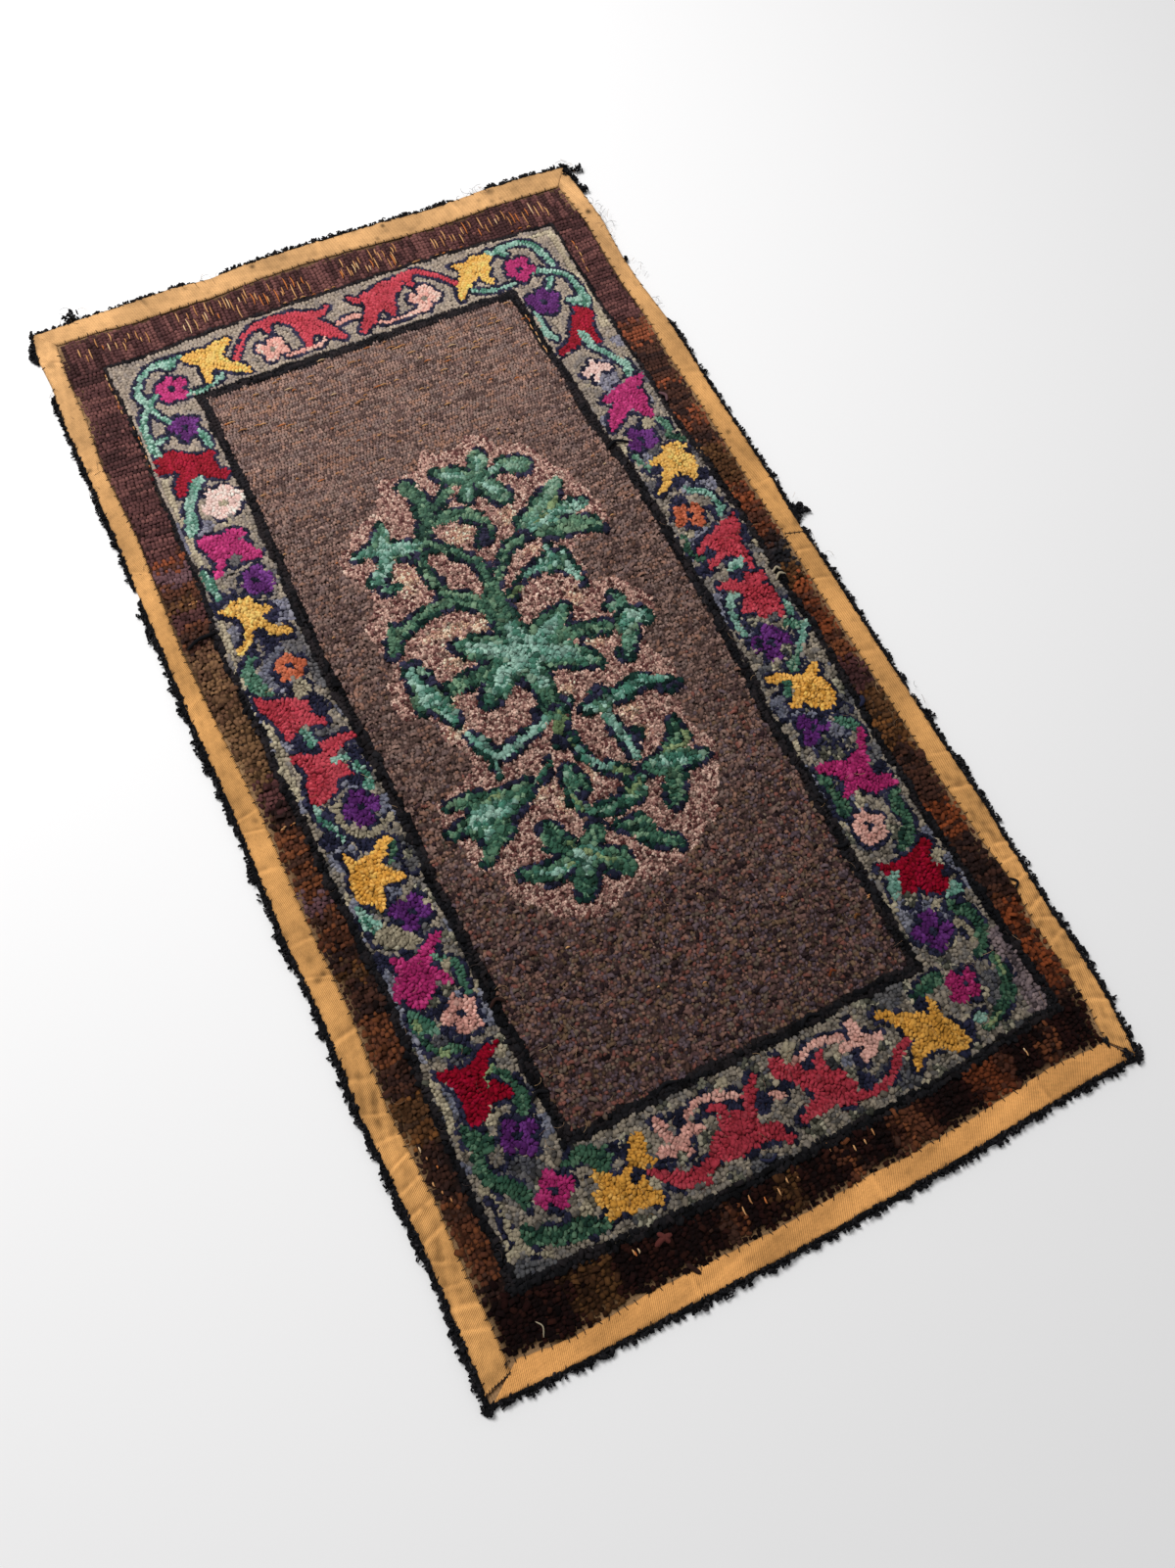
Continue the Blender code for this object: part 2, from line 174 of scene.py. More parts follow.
# Shades of each wool, and how often the next loop comes from another strip
YARNS = {
    "black": (((20, 20, 23), (31, 30, 33), (38, 34, 36)), 0.2),
    "navy": (((35, 37, 57), (27, 28, 43), (47, 47, 69)), 0.15),
    "plum": (((75, 45, 44), (64, 38, 38), (88, 54, 51), (54, 33, 33)), 0.15),
    "mauve": (((98, 72, 76), (84, 58, 62)), 0.2),
    "rust": (((102, 51, 28), (88, 44, 26), (118, 58, 30), (66, 38, 28)), 0.25),
    "chestnut": (((86, 49, 32), (74, 42, 29), (100, 57, 34), (58, 37, 29)), 0.25),
    "olive": (((92, 66, 45), (80, 55, 39), (104, 76, 50)), 0.25),
    "bronze": (((64, 40, 22), (54, 33, 19), (75, 49, 26)), 0.25),
    "amber": (((104, 66, 34), (88, 56, 31), (76, 50, 30), (60, 42, 30)), 0.25),
    "dark": (((46, 29, 25), (56, 34, 27), (38, 25, 23), (66, 40, 30)), 0.25),
    "umber": (((24, 9, 8), (31, 12, 10), (19, 8, 8), (40, 18, 13)), 0.25),
    "grey": (((132, 122, 109), (120, 112, 102), (141, 130, 114), (109, 104, 99)), 0.4),
    "taupe": (((140, 128, 114), (130, 120, 108), (149, 137, 121), (120, 112, 104)), 0.35),
    "tweed": (((74, 74, 64), (152, 146, 126), (104, 102, 88), (60, 60, 62)), 0.8),
    "mauve_grey": (((112, 98, 100), (100, 88, 92), (124, 108, 108)), 0.35),
    "jute": (((212, 182, 156), (194, 158, 132), (222, 200, 176), (150, 106, 92), (176, 138, 118)), 0.8),
    "blue_grey": (((106, 108, 122), (94, 96, 110), (120, 120, 130)), 0.4),
    "beige": (((156, 145, 122), (142, 132, 112), (168, 158, 134)), 0.25),
    "slate": (((82, 82, 84), (94, 92, 92), (70, 70, 76)), 0.3),
    "heather": (
        ((110, 87, 79), (99, 77, 70), (118, 94, 85), (94, 77, 74), (82, 63, 58), (114, 84, 71),
         (104, 86, 80), (68, 52, 50)),
        0.6,
    ),
    "pale_heather": (
        ((120, 96, 86), (108, 84, 77), (129, 103, 92), (102, 85, 80), (88, 69, 64), (124, 92, 76),
         (112, 94, 86), (76, 59, 55)),
        0.6,
    ),
    "deep_heather": (
        ((101, 75, 69), (87, 65, 61), (110, 82, 71), (84, 70, 74), (70, 51, 51), (106, 66, 58),
         (92, 78, 68), (40, 28, 30), (96, 75, 58), (78, 64, 70)),
        0.85,
    ),
    "beige_pink": (
        ((184, 148, 134), (170, 134, 121), (204, 172, 156), (118, 80, 75), (86, 50, 48), (150, 114, 104)),
        0.9,
    ),
    "oxblood": (((84, 42, 38), (74, 36, 34), (94, 50, 44)), 0.3),
    "yellow": (((224, 172, 86), (214, 160, 74), (232, 184, 102)), 0.06),
    "gold": (((228, 167, 76), (216, 154, 64), (237, 180, 91)), 0.06),
    "crimson": (((142, 4, 34), (126, 2, 27), (156, 12, 45)), 0.08),
    "rose": (((178, 58, 72), (166, 50, 62), (188, 70, 82)), 0.07),
    "magenta": (((176, 46, 108), (160, 38, 96), (190, 60, 120)), 0.1),
    "purple": (((91, 38, 106), (79, 32, 92), (105, 50, 122)), 0.12),
    "pink": (((216, 160, 146), (204, 146, 134), (226, 174, 160)), 0.1),
    "pale_pink": (((228, 194, 184), (216, 180, 170), (234, 206, 196)), 0.1),
    "salmon": (((190, 98, 66), (176, 88, 58), (202, 112, 80)), 0.1),
    "teal": (((136, 172, 157), (116, 157, 142), (150, 184, 168), (98, 143, 127), (66, 116, 98)), 0.17),
    "mid_green": (((86, 128, 107), (72, 114, 93), (108, 146, 125), (52, 95, 77), (128, 158, 136)), 0.2),
    "dark_green": (((64, 102, 82), (51, 88, 70), (84, 120, 95), (113, 144, 115), (37, 66, 56)), 0.2),
    "bottle_green": (((54, 88, 69), (43, 76, 60), (66, 101, 79), (88, 120, 95), (31, 57, 48)), 0.3),
    "deep_green": (((20, 48, 42), (16, 38, 36), (28, 58, 50), (26, 30, 46)), 0.3),
    "sage": (((122, 144, 101), (106, 128, 88), (138, 154, 110)), 0.2),
}
NAMES = list(YARNS)
CODE = {name: k for k, name in enumerate(NAMES)}

# Blocks of the brown border: where each ends along its side, and its wool
BLOCKS = {
    "left": (
        (90, "dark"), (160, "chestnut"), (215, "dark"), (262, "amber"), (288, "dark"), (338, "chestnut"),
        (380, "dark"), (392, "amber"), (412, "dark"), (450, "chestnut"), (468, "mauve"), (538, "chestnut"),
        (560, "dark"), (590, "plum"), (755, "olive"), (768, "dark"), (782, "chestnut"), (802, "plum"),
        (812, "amber"), (836, "chestnut"), (853, "mauve"), (866, "rust"), (1300, "plum"),
    ),
    "right": (
        (95, "dark"), (185, "rust"), (192, "chestnut"), (257, "dark"), (300, "rust"), (365, "dark"),
        (440, "amber"), (474, "plum"), (500, "chestnut"), (577, "rust"), (600, "bronze"), (625, "black"),
        (640, "dark"), (716, "rust"), (765, "bronze"), (775, "chestnut"), (792, "dark"), (816, "rust"),
        (860, "dark"), (876, "rust"), (924, "dark"), (956, "rust"), (1300, "plum"),
    ),
    "bottom": (
        (98, "umber"), (136, "bronze"), (238, "umber"), (258, "chestnut"), (298, "umber"), (318, "bronze"),
        (358, "umber"), (376, "chestnut"), (420, "umber"), (456, "chestnut"), (508, "umber"),
        (546, "rust"), (584, "umber"), (600, "chestnut"), (800, "umber"),
    ),
    "top": ((800, "plum"),),
}

# Strokes of the flower band: the wool, then points along the middle with half the width at each
BAND_SHAPES = (
    # far end, left corner
    ("teal", ((133, 1107, 3), (122, 1105, 4), (97, 1104, 3.5), (84, 1093, 3.5), (75, 1078, 3.5),
              (77, 1064, 3.5),
              (80, 1056, 4), (70, 1044, 4), (63, 1026, 3.5), (64, 1008, 5), (66, 998, 5), (70, 990, 2))),
    ("teal", ((112, 1104, 4), (117, 1099, 7), (119, 1095, 3))),
    ("teal", ((68, 1006, 5), (80, 1007, 3))),
    ("teal", ((80, 1058, 3), (88, 1064, 3), (95, 1070, 3))),
    ("teal", ((79, 1054, 3), (86, 1040, 3), (94, 1027, 3))),
    ("teal", ((120, 1057, 2.8), (136, 1054, 2.8), (150, 1056, 2.6), (168, 1066, 2.8))),
    ("teal", ((118, 1004, 3), (122, 992, 4), (122, 981, 3))),
    ("yellow", ((134, 1102, 3), (148, 1098, 10), (162, 1093, 12), (174, 1102, 8), (188, 1107, 3))),
    ("yellow", ((160, 1090, 11), (176, 1076, 8), (188, 1066, 6), (196, 1057, 2))),
    ("yellow", ((156, 1086, 9), (153, 1074, 6), (150, 1061, 2))),
    # far end, middle
    ("rose", ((188, 1080, 3.5), (196, 1092, 3.5), (210, 1106, 3.5), (226, 1114, 4), (246, 1116, 5),
              (256, 1112, 6))),
    ("rose", ((232, 1111, 6), (234, 1103, 4))),
    ("rose", ((256, 1110, 7), (268, 1106, 12), (276, 1096, 14), (285, 1088, 10), (298, 1074, 8),
              (309, 1061, 3))),
    ("rose", ((284, 1104, 8), (296, 1102, 4), (306, 1109, 3))),
    ("rose", ((270, 1090, 9), (270, 1076, 6), (266, 1064, 2))),
    ("rose", ((390, 1108, 7), (376, 1104, 13), (362, 1096, 14), (352, 1084, 10), (342, 1072, 8),
              (331, 1061, 4))),
    ("rose", ((352, 1104, 7), (342, 1102, 4), (333, 1109, 3.5))),
    ("rose", ((370, 1090, 9), (371, 1078, 6), (370, 1070, 3))),
    ("rose", ((386, 1110, 6), (400, 1117, 5), (420, 1116, 4), (436, 1104, 3.5), (448, 1092, 3.5),
              (455, 1083, 3))),
    ("rose", ((404, 1111, 6), (405, 1102, 4))),
    ("pink", ((308, 1080, 2.6), (322, 1084, 3), (333, 1082, 2.6))),
    ("pink", ((242, 1062, 2.5), (262, 1062, 2.6), (280, 1062, 2.6), (287, 1069, 2.6))),
    ("pink", ((353, 1065, 2.6), (364, 1062, 2.6), (380, 1061, 2.6), (400, 1064, 2.6))),
    # far end, right corner
    ("yellow", ((505, 1107, 5), (495, 1102, 10), (480, 1098, 13), (470, 1086, 10), (458, 1072, 7),
                (450, 1058, 2))),
    ("yellow", ((476, 1102, 8), (466, 1106, 5), (459, 1108, 2))),
    ("yellow", ((492, 1090, 8), (488, 1078, 5), (493, 1070, 3))),
    ("teal", ((506, 1112, 3), (516, 1110, 4), (530, 1112, 3.5), (545, 1112, 4), (558, 1102, 4),
              (565, 1086, 4.5),
              (568, 1066, 4))),
    ("teal", ((520, 1107, 5), (524, 1100, 4))),
    ("teal", ((468, 1065, 3), (480, 1061, 2.6), (500, 1057, 2.6), (516, 1058, 2.6))),
    ("teal", ((545, 1066, 5), (556, 1062, 4), (568, 1054, 4), (578, 1042, 4), (582, 1026, 4),
              (582, 1008, 6),
              (578, 995, 4))),
    ("teal", ((565, 1010, 4), (575, 1008, 6))),
    ("teal", ((558, 1050, 3), (551, 1039, 4))),
    ("teal", ((520, 1008, 3), (520, 992, 3), (521, 975, 4), (526, 966, 3))),
    # left side
    ("crimson", ((64, 984, 4), (80, 980, 9), (92, 968, 14), (104, 962, 12), (112, 948, 8), (122, 942, 6))),
    ("crimson", ((58, 972, 5), (74, 973, 8))),
    ("crimson", ((90, 956, 10), (79, 950, 7), (75, 940, 6), (71, 934, 3))),
    ("crimson", ((104, 968, 8), (118, 971, 4))),
    ("teal", ((97, 943, 6), (88, 934, 6), (79, 920, 6), (72, 906, 6), (70, 894, 8), (67, 885, 5))),
    ("magenta", ((74, 868, 7), (84, 862, 12), (96, 852, 14), (106, 843, 11), (119, 834, 5))),
    ("magenta", ((94, 862, 11), (108, 867, 6), (115, 863, 3))),
    ("magenta", ((84, 850, 9), (82, 838, 5), (74, 827, 5))),
    ("teal", ((60, 834, 4), (63, 818, 5), (65, 802, 4))),
    ("yellow", ((63, 783, 4), (76, 780, 9), (88, 770, 13), (88, 756, 12), (76, 743, 5), (65, 735, 4))),
    ("yellow", ((88, 784, 7), (77, 788, 5))),
    ("yellow", ((94, 768, 9), (104, 771, 4), (108, 770, 2))),
    ("yellow", ((92, 754, 10), (104, 745, 6), (112, 740, 6), (116, 734, 4))),
    ("blue_grey", ((100, 723, 3), (84, 712, 4), (76, 698, 4), (80, 684, 4))),
    ("mid_green", ((72, 722, 4), (64, 712, 6), (62, 700, 8), (66, 686, 7), (73, 679, 4))),
    ("rose", ((61, 677, 3), (67, 663, 9), (80, 652, 15), (77, 638, 10), (71, 625, 3))),
    ("rose", ((88, 654, 11), (102, 652, 5), (107, 654, 2))),
    ("rose", ((90, 642, 9), (103, 635, 5), (111, 630, 3))),
    ("teal", ((88, 624, 6), (91, 611, 5))),
    ("rose", ((66, 605, 3), (75, 597, 7), (85, 584, 12), (84, 569, 15), (73, 556, 8), (69, 552, 4))),
    ("rose", ((88, 588, 10), (104, 600, 9), (120, 604, 5), (129, 602, 3))),
    ("rose", ((94, 576, 12), (106, 573, 6), (113, 567, 2))),
    ("teal", ((102, 584, 3.5), (112, 586, 3), (123, 584, 3))),
    ("teal", ((122, 570, 5), (124, 560, 5), (122, 548, 5))),
    ("teal", ((68, 548, 3), (70, 533, 4), (76, 519, 4), (80, 506, 3))),
    ("beige", ((86, 541, 3), (84, 524, 3), (92, 508, 4), (110, 502, 4), (129, 510, 4))),
    ("gold", ((73, 489, 3), (78, 478, 6), (86, 462, 16), (82, 448, 12), (88, 437, 6), (90, 427, 2))),
    ("gold", ((92, 476, 7), (101, 477, 8), (112, 486, 7), (120, 485, 3))),
    ("gold", ((98, 460, 10), (108, 453, 7), (116, 451, 3))),
    ("bottle_green", ((113, 468, 2), (118, 475, 4), (122, 483, 2))),
    ("teal", ((68, 433, 4), (70, 419, 7), (79, 411, 5))),
    ("beige", ((72, 404, 6), (84, 401, 11), (96, 390, 8), (104, 386, 5))),
    ("magenta", ((66, 343, 3), (76, 352, 8), (90, 356, 15), (90, 344, 12), (80, 335, 8), (87, 330, 4))),
    ("magenta", ((96, 364, 10), (108, 374, 7), (123, 383, 4))),
    ("magenta", ((82, 368, 7), (77, 376, 3))),
    ("magenta", ((103, 352, 8), (112, 343, 5), (116, 336, 3))),
    ("mid_green", ((112, 366, 4), (122, 358, 3), (128, 350, 4), (128, 338, 4), (126, 323, 4))),
    ("mid_green", ((70, 324, 4), (77, 311, 9), (85, 305, 5))),
    ("sage", ((72, 316, 3), (73, 309, 3))),
    ("bottle_green", ((72, 300, 3), (80, 288, 5), (92, 281, 5), (104, 275, 4))),
    ("sage", ((82, 284, 3), (86, 280, 3))),
    ("crimson", ((74, 266, 4), (84, 256, 8), (92, 246, 13), (95, 234, 14), (88, 222, 9), (83, 216, 4))),
    ("crimson", ((98, 250, 9), (110, 258, 7), (120, 267, 5), (130, 270, 2.5))),
    ("crimson", ((104, 232, 9), (116, 228, 7), (123, 224, 3))),
    ("sage", ((107, 238, 2.5), (109, 247, 2.5), (119, 250, 3))),
    ("bottle_green", ((120, 246, 4), (127, 238, 4), (130, 224, 5), (130, 212, 8), (126, 204, 5))),
    ("bottle_green", ((72, 213, 3), (77, 200, 9), (83, 193, 8))),
    ("bottle_green", ((73, 186, 4), (74, 170, 6), (80, 156, 7), (92, 148, 7), (97, 140, 7), (96, 131, 4))),
    # near end, left corner
    ("beige", ((67, 160, 2.3), (74, 142, 2.5), (72, 120, 2.5), (78, 101, 2.5), (90, 90, 2.5), (98, 87, 2))),
    ("bottle_green", ((84, 111, 6), (92, 103, 7), (110, 97, 8), (128, 94, 9), (144, 90, 7), (152, 88, 4))),
    ("bottle_green", ((140, 148, 4), (156, 148, 7), (170, 139, 10), (168, 130, 6))),
    ("bottle_green", ((168, 142, 6), (182, 142, 4))),
    ("gold", ((156, 110, 6), (168, 106, 14), (180, 101, 15), (192, 116, 9), (202, 132, 8), (208, 142, 4))),
    ("gold", ((198, 128, 8), (208, 118, 4))),
    ("gold", ((166, 120, 7), (160, 128, 4))),
    ("gold", ((180, 95, 10), (197, 91, 6), (202, 83, 4))),
    ("gold", ((166, 97, 8), (156, 91, 4))),
    ("rose", ((203, 111, 3.5), (212, 104, 4), (222, 94, 7), (236, 87, 6), (248, 90, 6), (262, 93, 5))),
    ("rose", ((243, 88, 5), (246, 80, 3))),
    ("pink", ((228, 143, 5), (232, 132, 5), (240, 121, 6), (250, 128, 5), (260, 123, 4))),
    ("pink", ((221, 118, 5), (232, 115, 6), (243, 110, 4))),
    ("pink", ((254, 139, 3), (272, 144, 3.5), (290, 141, 4), (302, 136, 4), (306, 131, 3))),
    # near end, middle
    ("rose", ((262, 94, 5), (278, 100, 13), (292, 104, 16), (306, 118, 10), (316, 128, 7), (326, 141, 4))),
    ("rose", ((300, 97, 12), (316, 94, 8), (326, 85, 6), (332, 82, 4))),
    ("rose", ((284, 118, 5), (286, 130, 4), (277, 134, 3))),
    ("rose", ((350, 143, 7), (353, 133, 7), (366, 124, 9), (378, 114, 14), (391, 104, 16), (396, 92, 11),
              (398, 84, 5))),
    ("rose", ((376, 97, 10), (361, 93, 6), (351, 90, 4))),
    ("rose", ((384, 124, 7), (388, 131, 4), (394, 134, 2))),
    ("rose", ((404, 86, 4), (418, 84, 4), (434, 84, 4), (448, 92, 4), (460, 104, 4.5), (473, 110, 4))),
    ("pink", ((368, 136, 3), (384, 142, 3.5), (400, 143, 3.5), (416, 138, 3.5))),
    ("pink", ((431, 145, 5), (428, 133, 7), (438, 124, 7), (425, 112, 4))),
    ("pink", ((436, 125, 6), (452, 125, 3))),
    ("pink", ((430, 128, 6), (414, 128, 4))),
    ("pink", ((334, 119, 4), (342, 117, 4))),
    # near end, right corner
    ("gold", ((459, 141, 4), (467, 136, 4), (476, 128, 8), (490, 112, 13), (505, 101, 14), (515, 90, 10),
              (516, 82, 4))),
    ("gold", ((505, 112, 9), (508, 124, 6), (506, 133, 3))),
    ("gold", ((484, 99, 9), (474, 92, 5), (467, 84, 3))),
    ("bottle_green", ((498, 140, 4), (514, 146, 7), (529, 148, 6))),
    ("bottle_green", ((580, 200, 7), (590, 190, 7), (594, 174, 6), (588, 160, 6), (580, 152, 6))),
    ("beige", ((574, 184, 5), (580, 178, 5), (580, 166, 4))),
    ("bottle_green", ((587, 143, 3), (590, 128, 5), (584, 110, 6), (572, 99, 5), (560, 92, 4),
                      (547, 88, 4))),
    ("sage", ((590, 140, 1.8), (589, 124, 1.8))),
    ("sage", ((565, 94, 2), (550, 88, 2))),
    ("teal", ((540, 99, 3), (547, 99, 5))),
    # right side
    ("crimson", ((567, 998, 4), (573, 988, 8), (562, 974, 13), (565, 958, 8), (569, 945, 4))),
    ("crimson", ((552, 966, 9), (539, 952, 6), (523, 945, 4))),
    ("teal", ((555, 962, 5), (557, 952, 5), (558, 942, 4), (568, 928, 3.5), (577, 914, 4), (582, 901, 5),
              (580, 889, 4))),
    ("pale_pink", ((535, 909, 5), (548, 912, 6), (563, 908, 5))),
    ("pale_pink", ((549, 921, 4), (549, 906, 4), (542, 896, 4))),
    ("magenta", ((590, 882, 4), (576, 876, 8), (558, 868, 9), (541, 867, 5), (534, 867, 2))),
    ("magenta", ((572, 862, 12), (558, 856, 10), (542, 844, 9), (529, 829, 4))),
    ("magenta", ((572, 854, 12), (572, 840, 7), (577, 829, 4))),
    ("mid_green", ((580, 820, 4), (585, 812, 5), (586, 804, 4))),
    ("bottle_green", ((582, 797, 5), (594, 788, 5))),
    ("yellow", ((543, 771, 3), (556, 768, 6), (570, 766, 14), (579, 756, 13), (581, 744, 6),
                (581, 735, 3))),
    ("yellow", ((588, 778, 4), (580, 782, 5), (572, 776, 9))),
    ("yellow", ((566, 757, 10), (554, 745, 7), (544, 736, 4), (536, 732, 2))),
    ("mid_green", ((534, 785, 4), (538, 771, 4), (546, 761, 5))),
    ("teal", ((567, 725, 4), (578, 718, 4), (586, 708, 4), (590, 697, 3))),
    ("teal", ((583, 682, 3), (590, 690, 5))),
    ("rose", ((597, 677, 3), (589, 665, 9), (574, 653, 16), (560, 641, 10), (547, 631, 5), (543, 626, 2))),
    ("rose", ((566, 656, 10), (552, 656, 5), (543, 650, 3))),
    ("rose", ((578, 638, 9), (584, 623, 5), (584, 611, 3))),
    ("bottle_green", ((536, 672, 3), (533, 655, 3.5), (540, 640, 3))),
    ("teal", ((561, 616, 3), (570, 620, 6), (578, 624, 4))),
    ("rose", ((543, 603, 4), (556, 599, 6), (568, 588, 12), (574, 575, 17), (578, 561, 13), (583, 550, 5))),
    ("rose", ((576, 604, 6), (583, 596, 8), (591, 600, 4))),
    ("rose", ((562, 572, 10), (550, 566, 4))),
    ("teal", ((552, 588, 4), (544, 584, 5), (540, 574, 4), (536, 560, 3), (537, 544, 3))),
    ("teal", ((596, 557, 5), (595, 546, 4))),
    ("mid_green", ((588, 538, 6), (596, 532, 5))),
    ("teal", ((603, 529, 4), (592, 516, 4), (580, 504, 3))),
    ("mid_green", ((580, 504, 3.5), (566, 489, 6))),
    ("gold", ((536, 486, 4), (548, 482, 6), (562, 472, 9), (572, 458, 17), (576, 446, 14), (576, 436, 5))),
    ("gold", ((579, 474, 8), (587, 481, 3))),
    ("gold", ((560, 458, 8), (548, 452, 5), (541, 449, 2))),
    ("mid_green", ((550, 474, 4), (544, 464, 4))),
    ("mid_green", ((578, 416, 4), (586, 408, 6), (593, 402, 3))),
    ("magenta", ((533, 379, 4), (548, 374, 8), (562, 362, 12), (572, 346, 12), (586, 340, 8),
                 (593, 335, 4))),
    ("magenta", ((572, 370, 9), (582, 380, 5), (588, 390, 4), (594, 398, 3))),
    ("magenta", ((560, 356, 9), (550, 347, 6), (541, 342, 3))),
    ("bottle_green", ((530, 368, 5), (532, 350, 5), (534, 330, 8))),
    ("bottle_green", ((590, 323, 5), (584, 311, 7), (587, 297, 5), (577, 281, 7), (566, 271, 5))),
    ("crimson", ((537, 263, 4), (550, 254, 8), (568, 247, 16), (579, 260, 8), (589, 267, 6))),
    ("crimson", ((572, 232, 12), (584, 234, 9), (580, 222, 6), (577, 217, 3))),
    ("crimson", ((556, 240, 9), (545, 230, 4))),
    ("teal", ((545, 252, 5), (538, 244, 6), (534, 234, 3))),
    ("teal", ((583, 212, 4), (592, 215, 6))),
    ("blue_grey", ((600, 250, 4), (602, 238, 5), (606, 227, 3))),
)

# Blossoms: the wool of the petals and of the heart, the middle, radius, first petal's turn, and petals
BLOSSOMS = (
    ("magenta", "navy", (110, 1069), 18, 20, 5), ("magenta", "navy", (531, 1074), 18, 50, 5),
    ("pink", "grey", (229, 1077), 19, 60, 4), ("pink", "grey", (412, 1078), 19, 75, 4),
    ("purple", "navy", (106, 1014), 17, 30, 5), ("purple", "navy", (536, 1020), 19, 80, 5),
    ("pale_pink", "beige", (110, 908), 21, 5, 6),
    ("purple", "navy", (107, 804), 18, 10, 6), ("purple", "navy", (552, 803), 17, 35, 4),
    ("salmon", "navy", (101, 697), 17, 85, 5), ("salmon", "navy", (553, 694), 18, 25, 4),
    ("purple", "navy", (107, 528), 18, 0, 4), ("purple", "navy", (558, 523), 21, 75, 4),
    ("purple", "navy", (110, 414), 19, 60, 4), ("purple", "navy", (549, 420), 19, 110, 3),
    ("pink", "navy", (112, 306), 18, 100, 5), ("pink", "navy", (547, 304), 18, 15, 5),
    ("purple", "navy", (114, 186), 19, 110, 4), ("purple", "navy", (548, 187), 19, 80, 4),
    ("magenta", "navy", (121, 131), 18, 95, 4), ("magenta", "navy", (548, 130), 17, 40, 4),
)

# Small knots of another wool: where, and half the width
KNOTS = (
    ("navy", 192, 111, 6), ("navy", 416, 92, 6), ("navy", 324, 116, 8), ("navy", 75, 797, 5),
    ("navy", 66, 793, 5), ("navy", 56, 794, 5), ("navy", 106, 760, 7), ("navy", 88, 744, 6),
    ("navy", 92, 735, 7), ("navy", 74, 730, 5), ("beige", 102, 670, 9), ("navy", 108, 652, 6),
    ("navy", 112, 642, 6), ("navy", 78, 612, 4), ("navy", 90, 602, 5), ("navy", 66, 510, 5),
    ("navy", 98, 490, 5), ("navy", 76, 536, 5), ("navy", 64, 381, 5), ("navy", 92, 376, 4),
    ("slate", 86, 292, 6), ("beige", 118, 355, 5), ("navy", 124, 585, 4), ("navy", 116, 560, 5),
    ("navy", 548, 760, 6), ("navy", 562, 738, 6), ("navy", 552, 712, 5), ("grey", 576, 702, 8),
    ("navy", 594, 736, 5), ("navy", 596, 648, 4), ("navy", 550, 640, 6), ("navy", 536, 628, 5),
    ("navy", 566, 604, 5), ("slate", 576, 548, 5), ("navy", 546, 528, 4), ("blue_grey", 532, 460, 6),
    ("blue_grey", 530, 448, 6), ("navy", 562, 424, 5), ("slate", 590, 424, 5), ("blue_grey", 570, 408, 8),
    ("tweed", 548, 390, 6), ("tweed", 560, 386, 6), ("navy", 586, 353, 6), ("tweed", 110, 332, 6),
    ("tweed", 94, 326, 5), ("navy", 592, 232, 5), ("tweed", 545, 222, 7), ("grey", 88, 178, 8),
    ("tweed", 236, 108, 5), ("tweed", 262, 112, 6), ("tweed", 400, 122, 5), ("tweed", 410, 106, 5),
    ("tweed", 332, 132, 7), ("blue_grey", 412, 116, 5), ("navy", 264, 130, 5), ("navy", 246, 138, 4),
    ("navy", 376, 128, 5), ("navy", 302, 126, 5), ("navy", 500, 132, 6), ("navy", 530, 90, 5),
    ("navy", 183, 140, 5), ("beige", 568, 820, 7), ("slate", 560, 784, 6), ("beige", 594, 252, 5),
    ("tweed", 570, 510, 7), ("tweed", 552, 552, 6), ("tweed", 130, 466, 5), ("slate", 130, 456, 6),
    ("slate", 96, 836, 6),
)

# Outline of the medallion's ground
MEDALLION = (
    (262, 864), (268, 852), (258, 842), (246, 832), (226, 824), (211, 810), (197, 797), (192, 780),
    (201, 766), (204, 750), (208, 736), (200, 722), (190, 708), (188, 690), (190, 674), (195, 656),
    (181, 636), (176, 615), (183, 599), (201, 592), (212, 578), (210, 562), (221, 546), (220, 520),
    (205, 511), (183, 508), (172, 492), (170, 470), (179, 456), (180, 440), (181, 424), (200, 412),
    (202, 395), (208, 378), (222, 366), (231, 353), (246, 345), (265, 338), (284, 339), (300, 346),
    (318, 351), (335, 348), (351, 350), (366, 354), (385, 360), (396, 372), (415, 381), (425, 395),
    (433, 410), (446, 425), (451, 445), (445, 464), (440, 485), (441, 505), (453, 525), (458, 545),
    (450, 560), (441, 575), (446, 590), (462, 600), (470, 615), (465, 636), (450, 655), (436, 662),
    (421, 666), (426, 681), (422, 700), (431, 715), (451, 718), (469, 719), (475, 736), (468, 760),
    (463, 780), (458, 800), (448, 816), (440, 836), (430, 851), (416, 858), (401, 862), (396, 880),
    (376, 882), (360, 876), (341, 876), (326, 885), (312, 869), (291, 862), (275, 869),
)

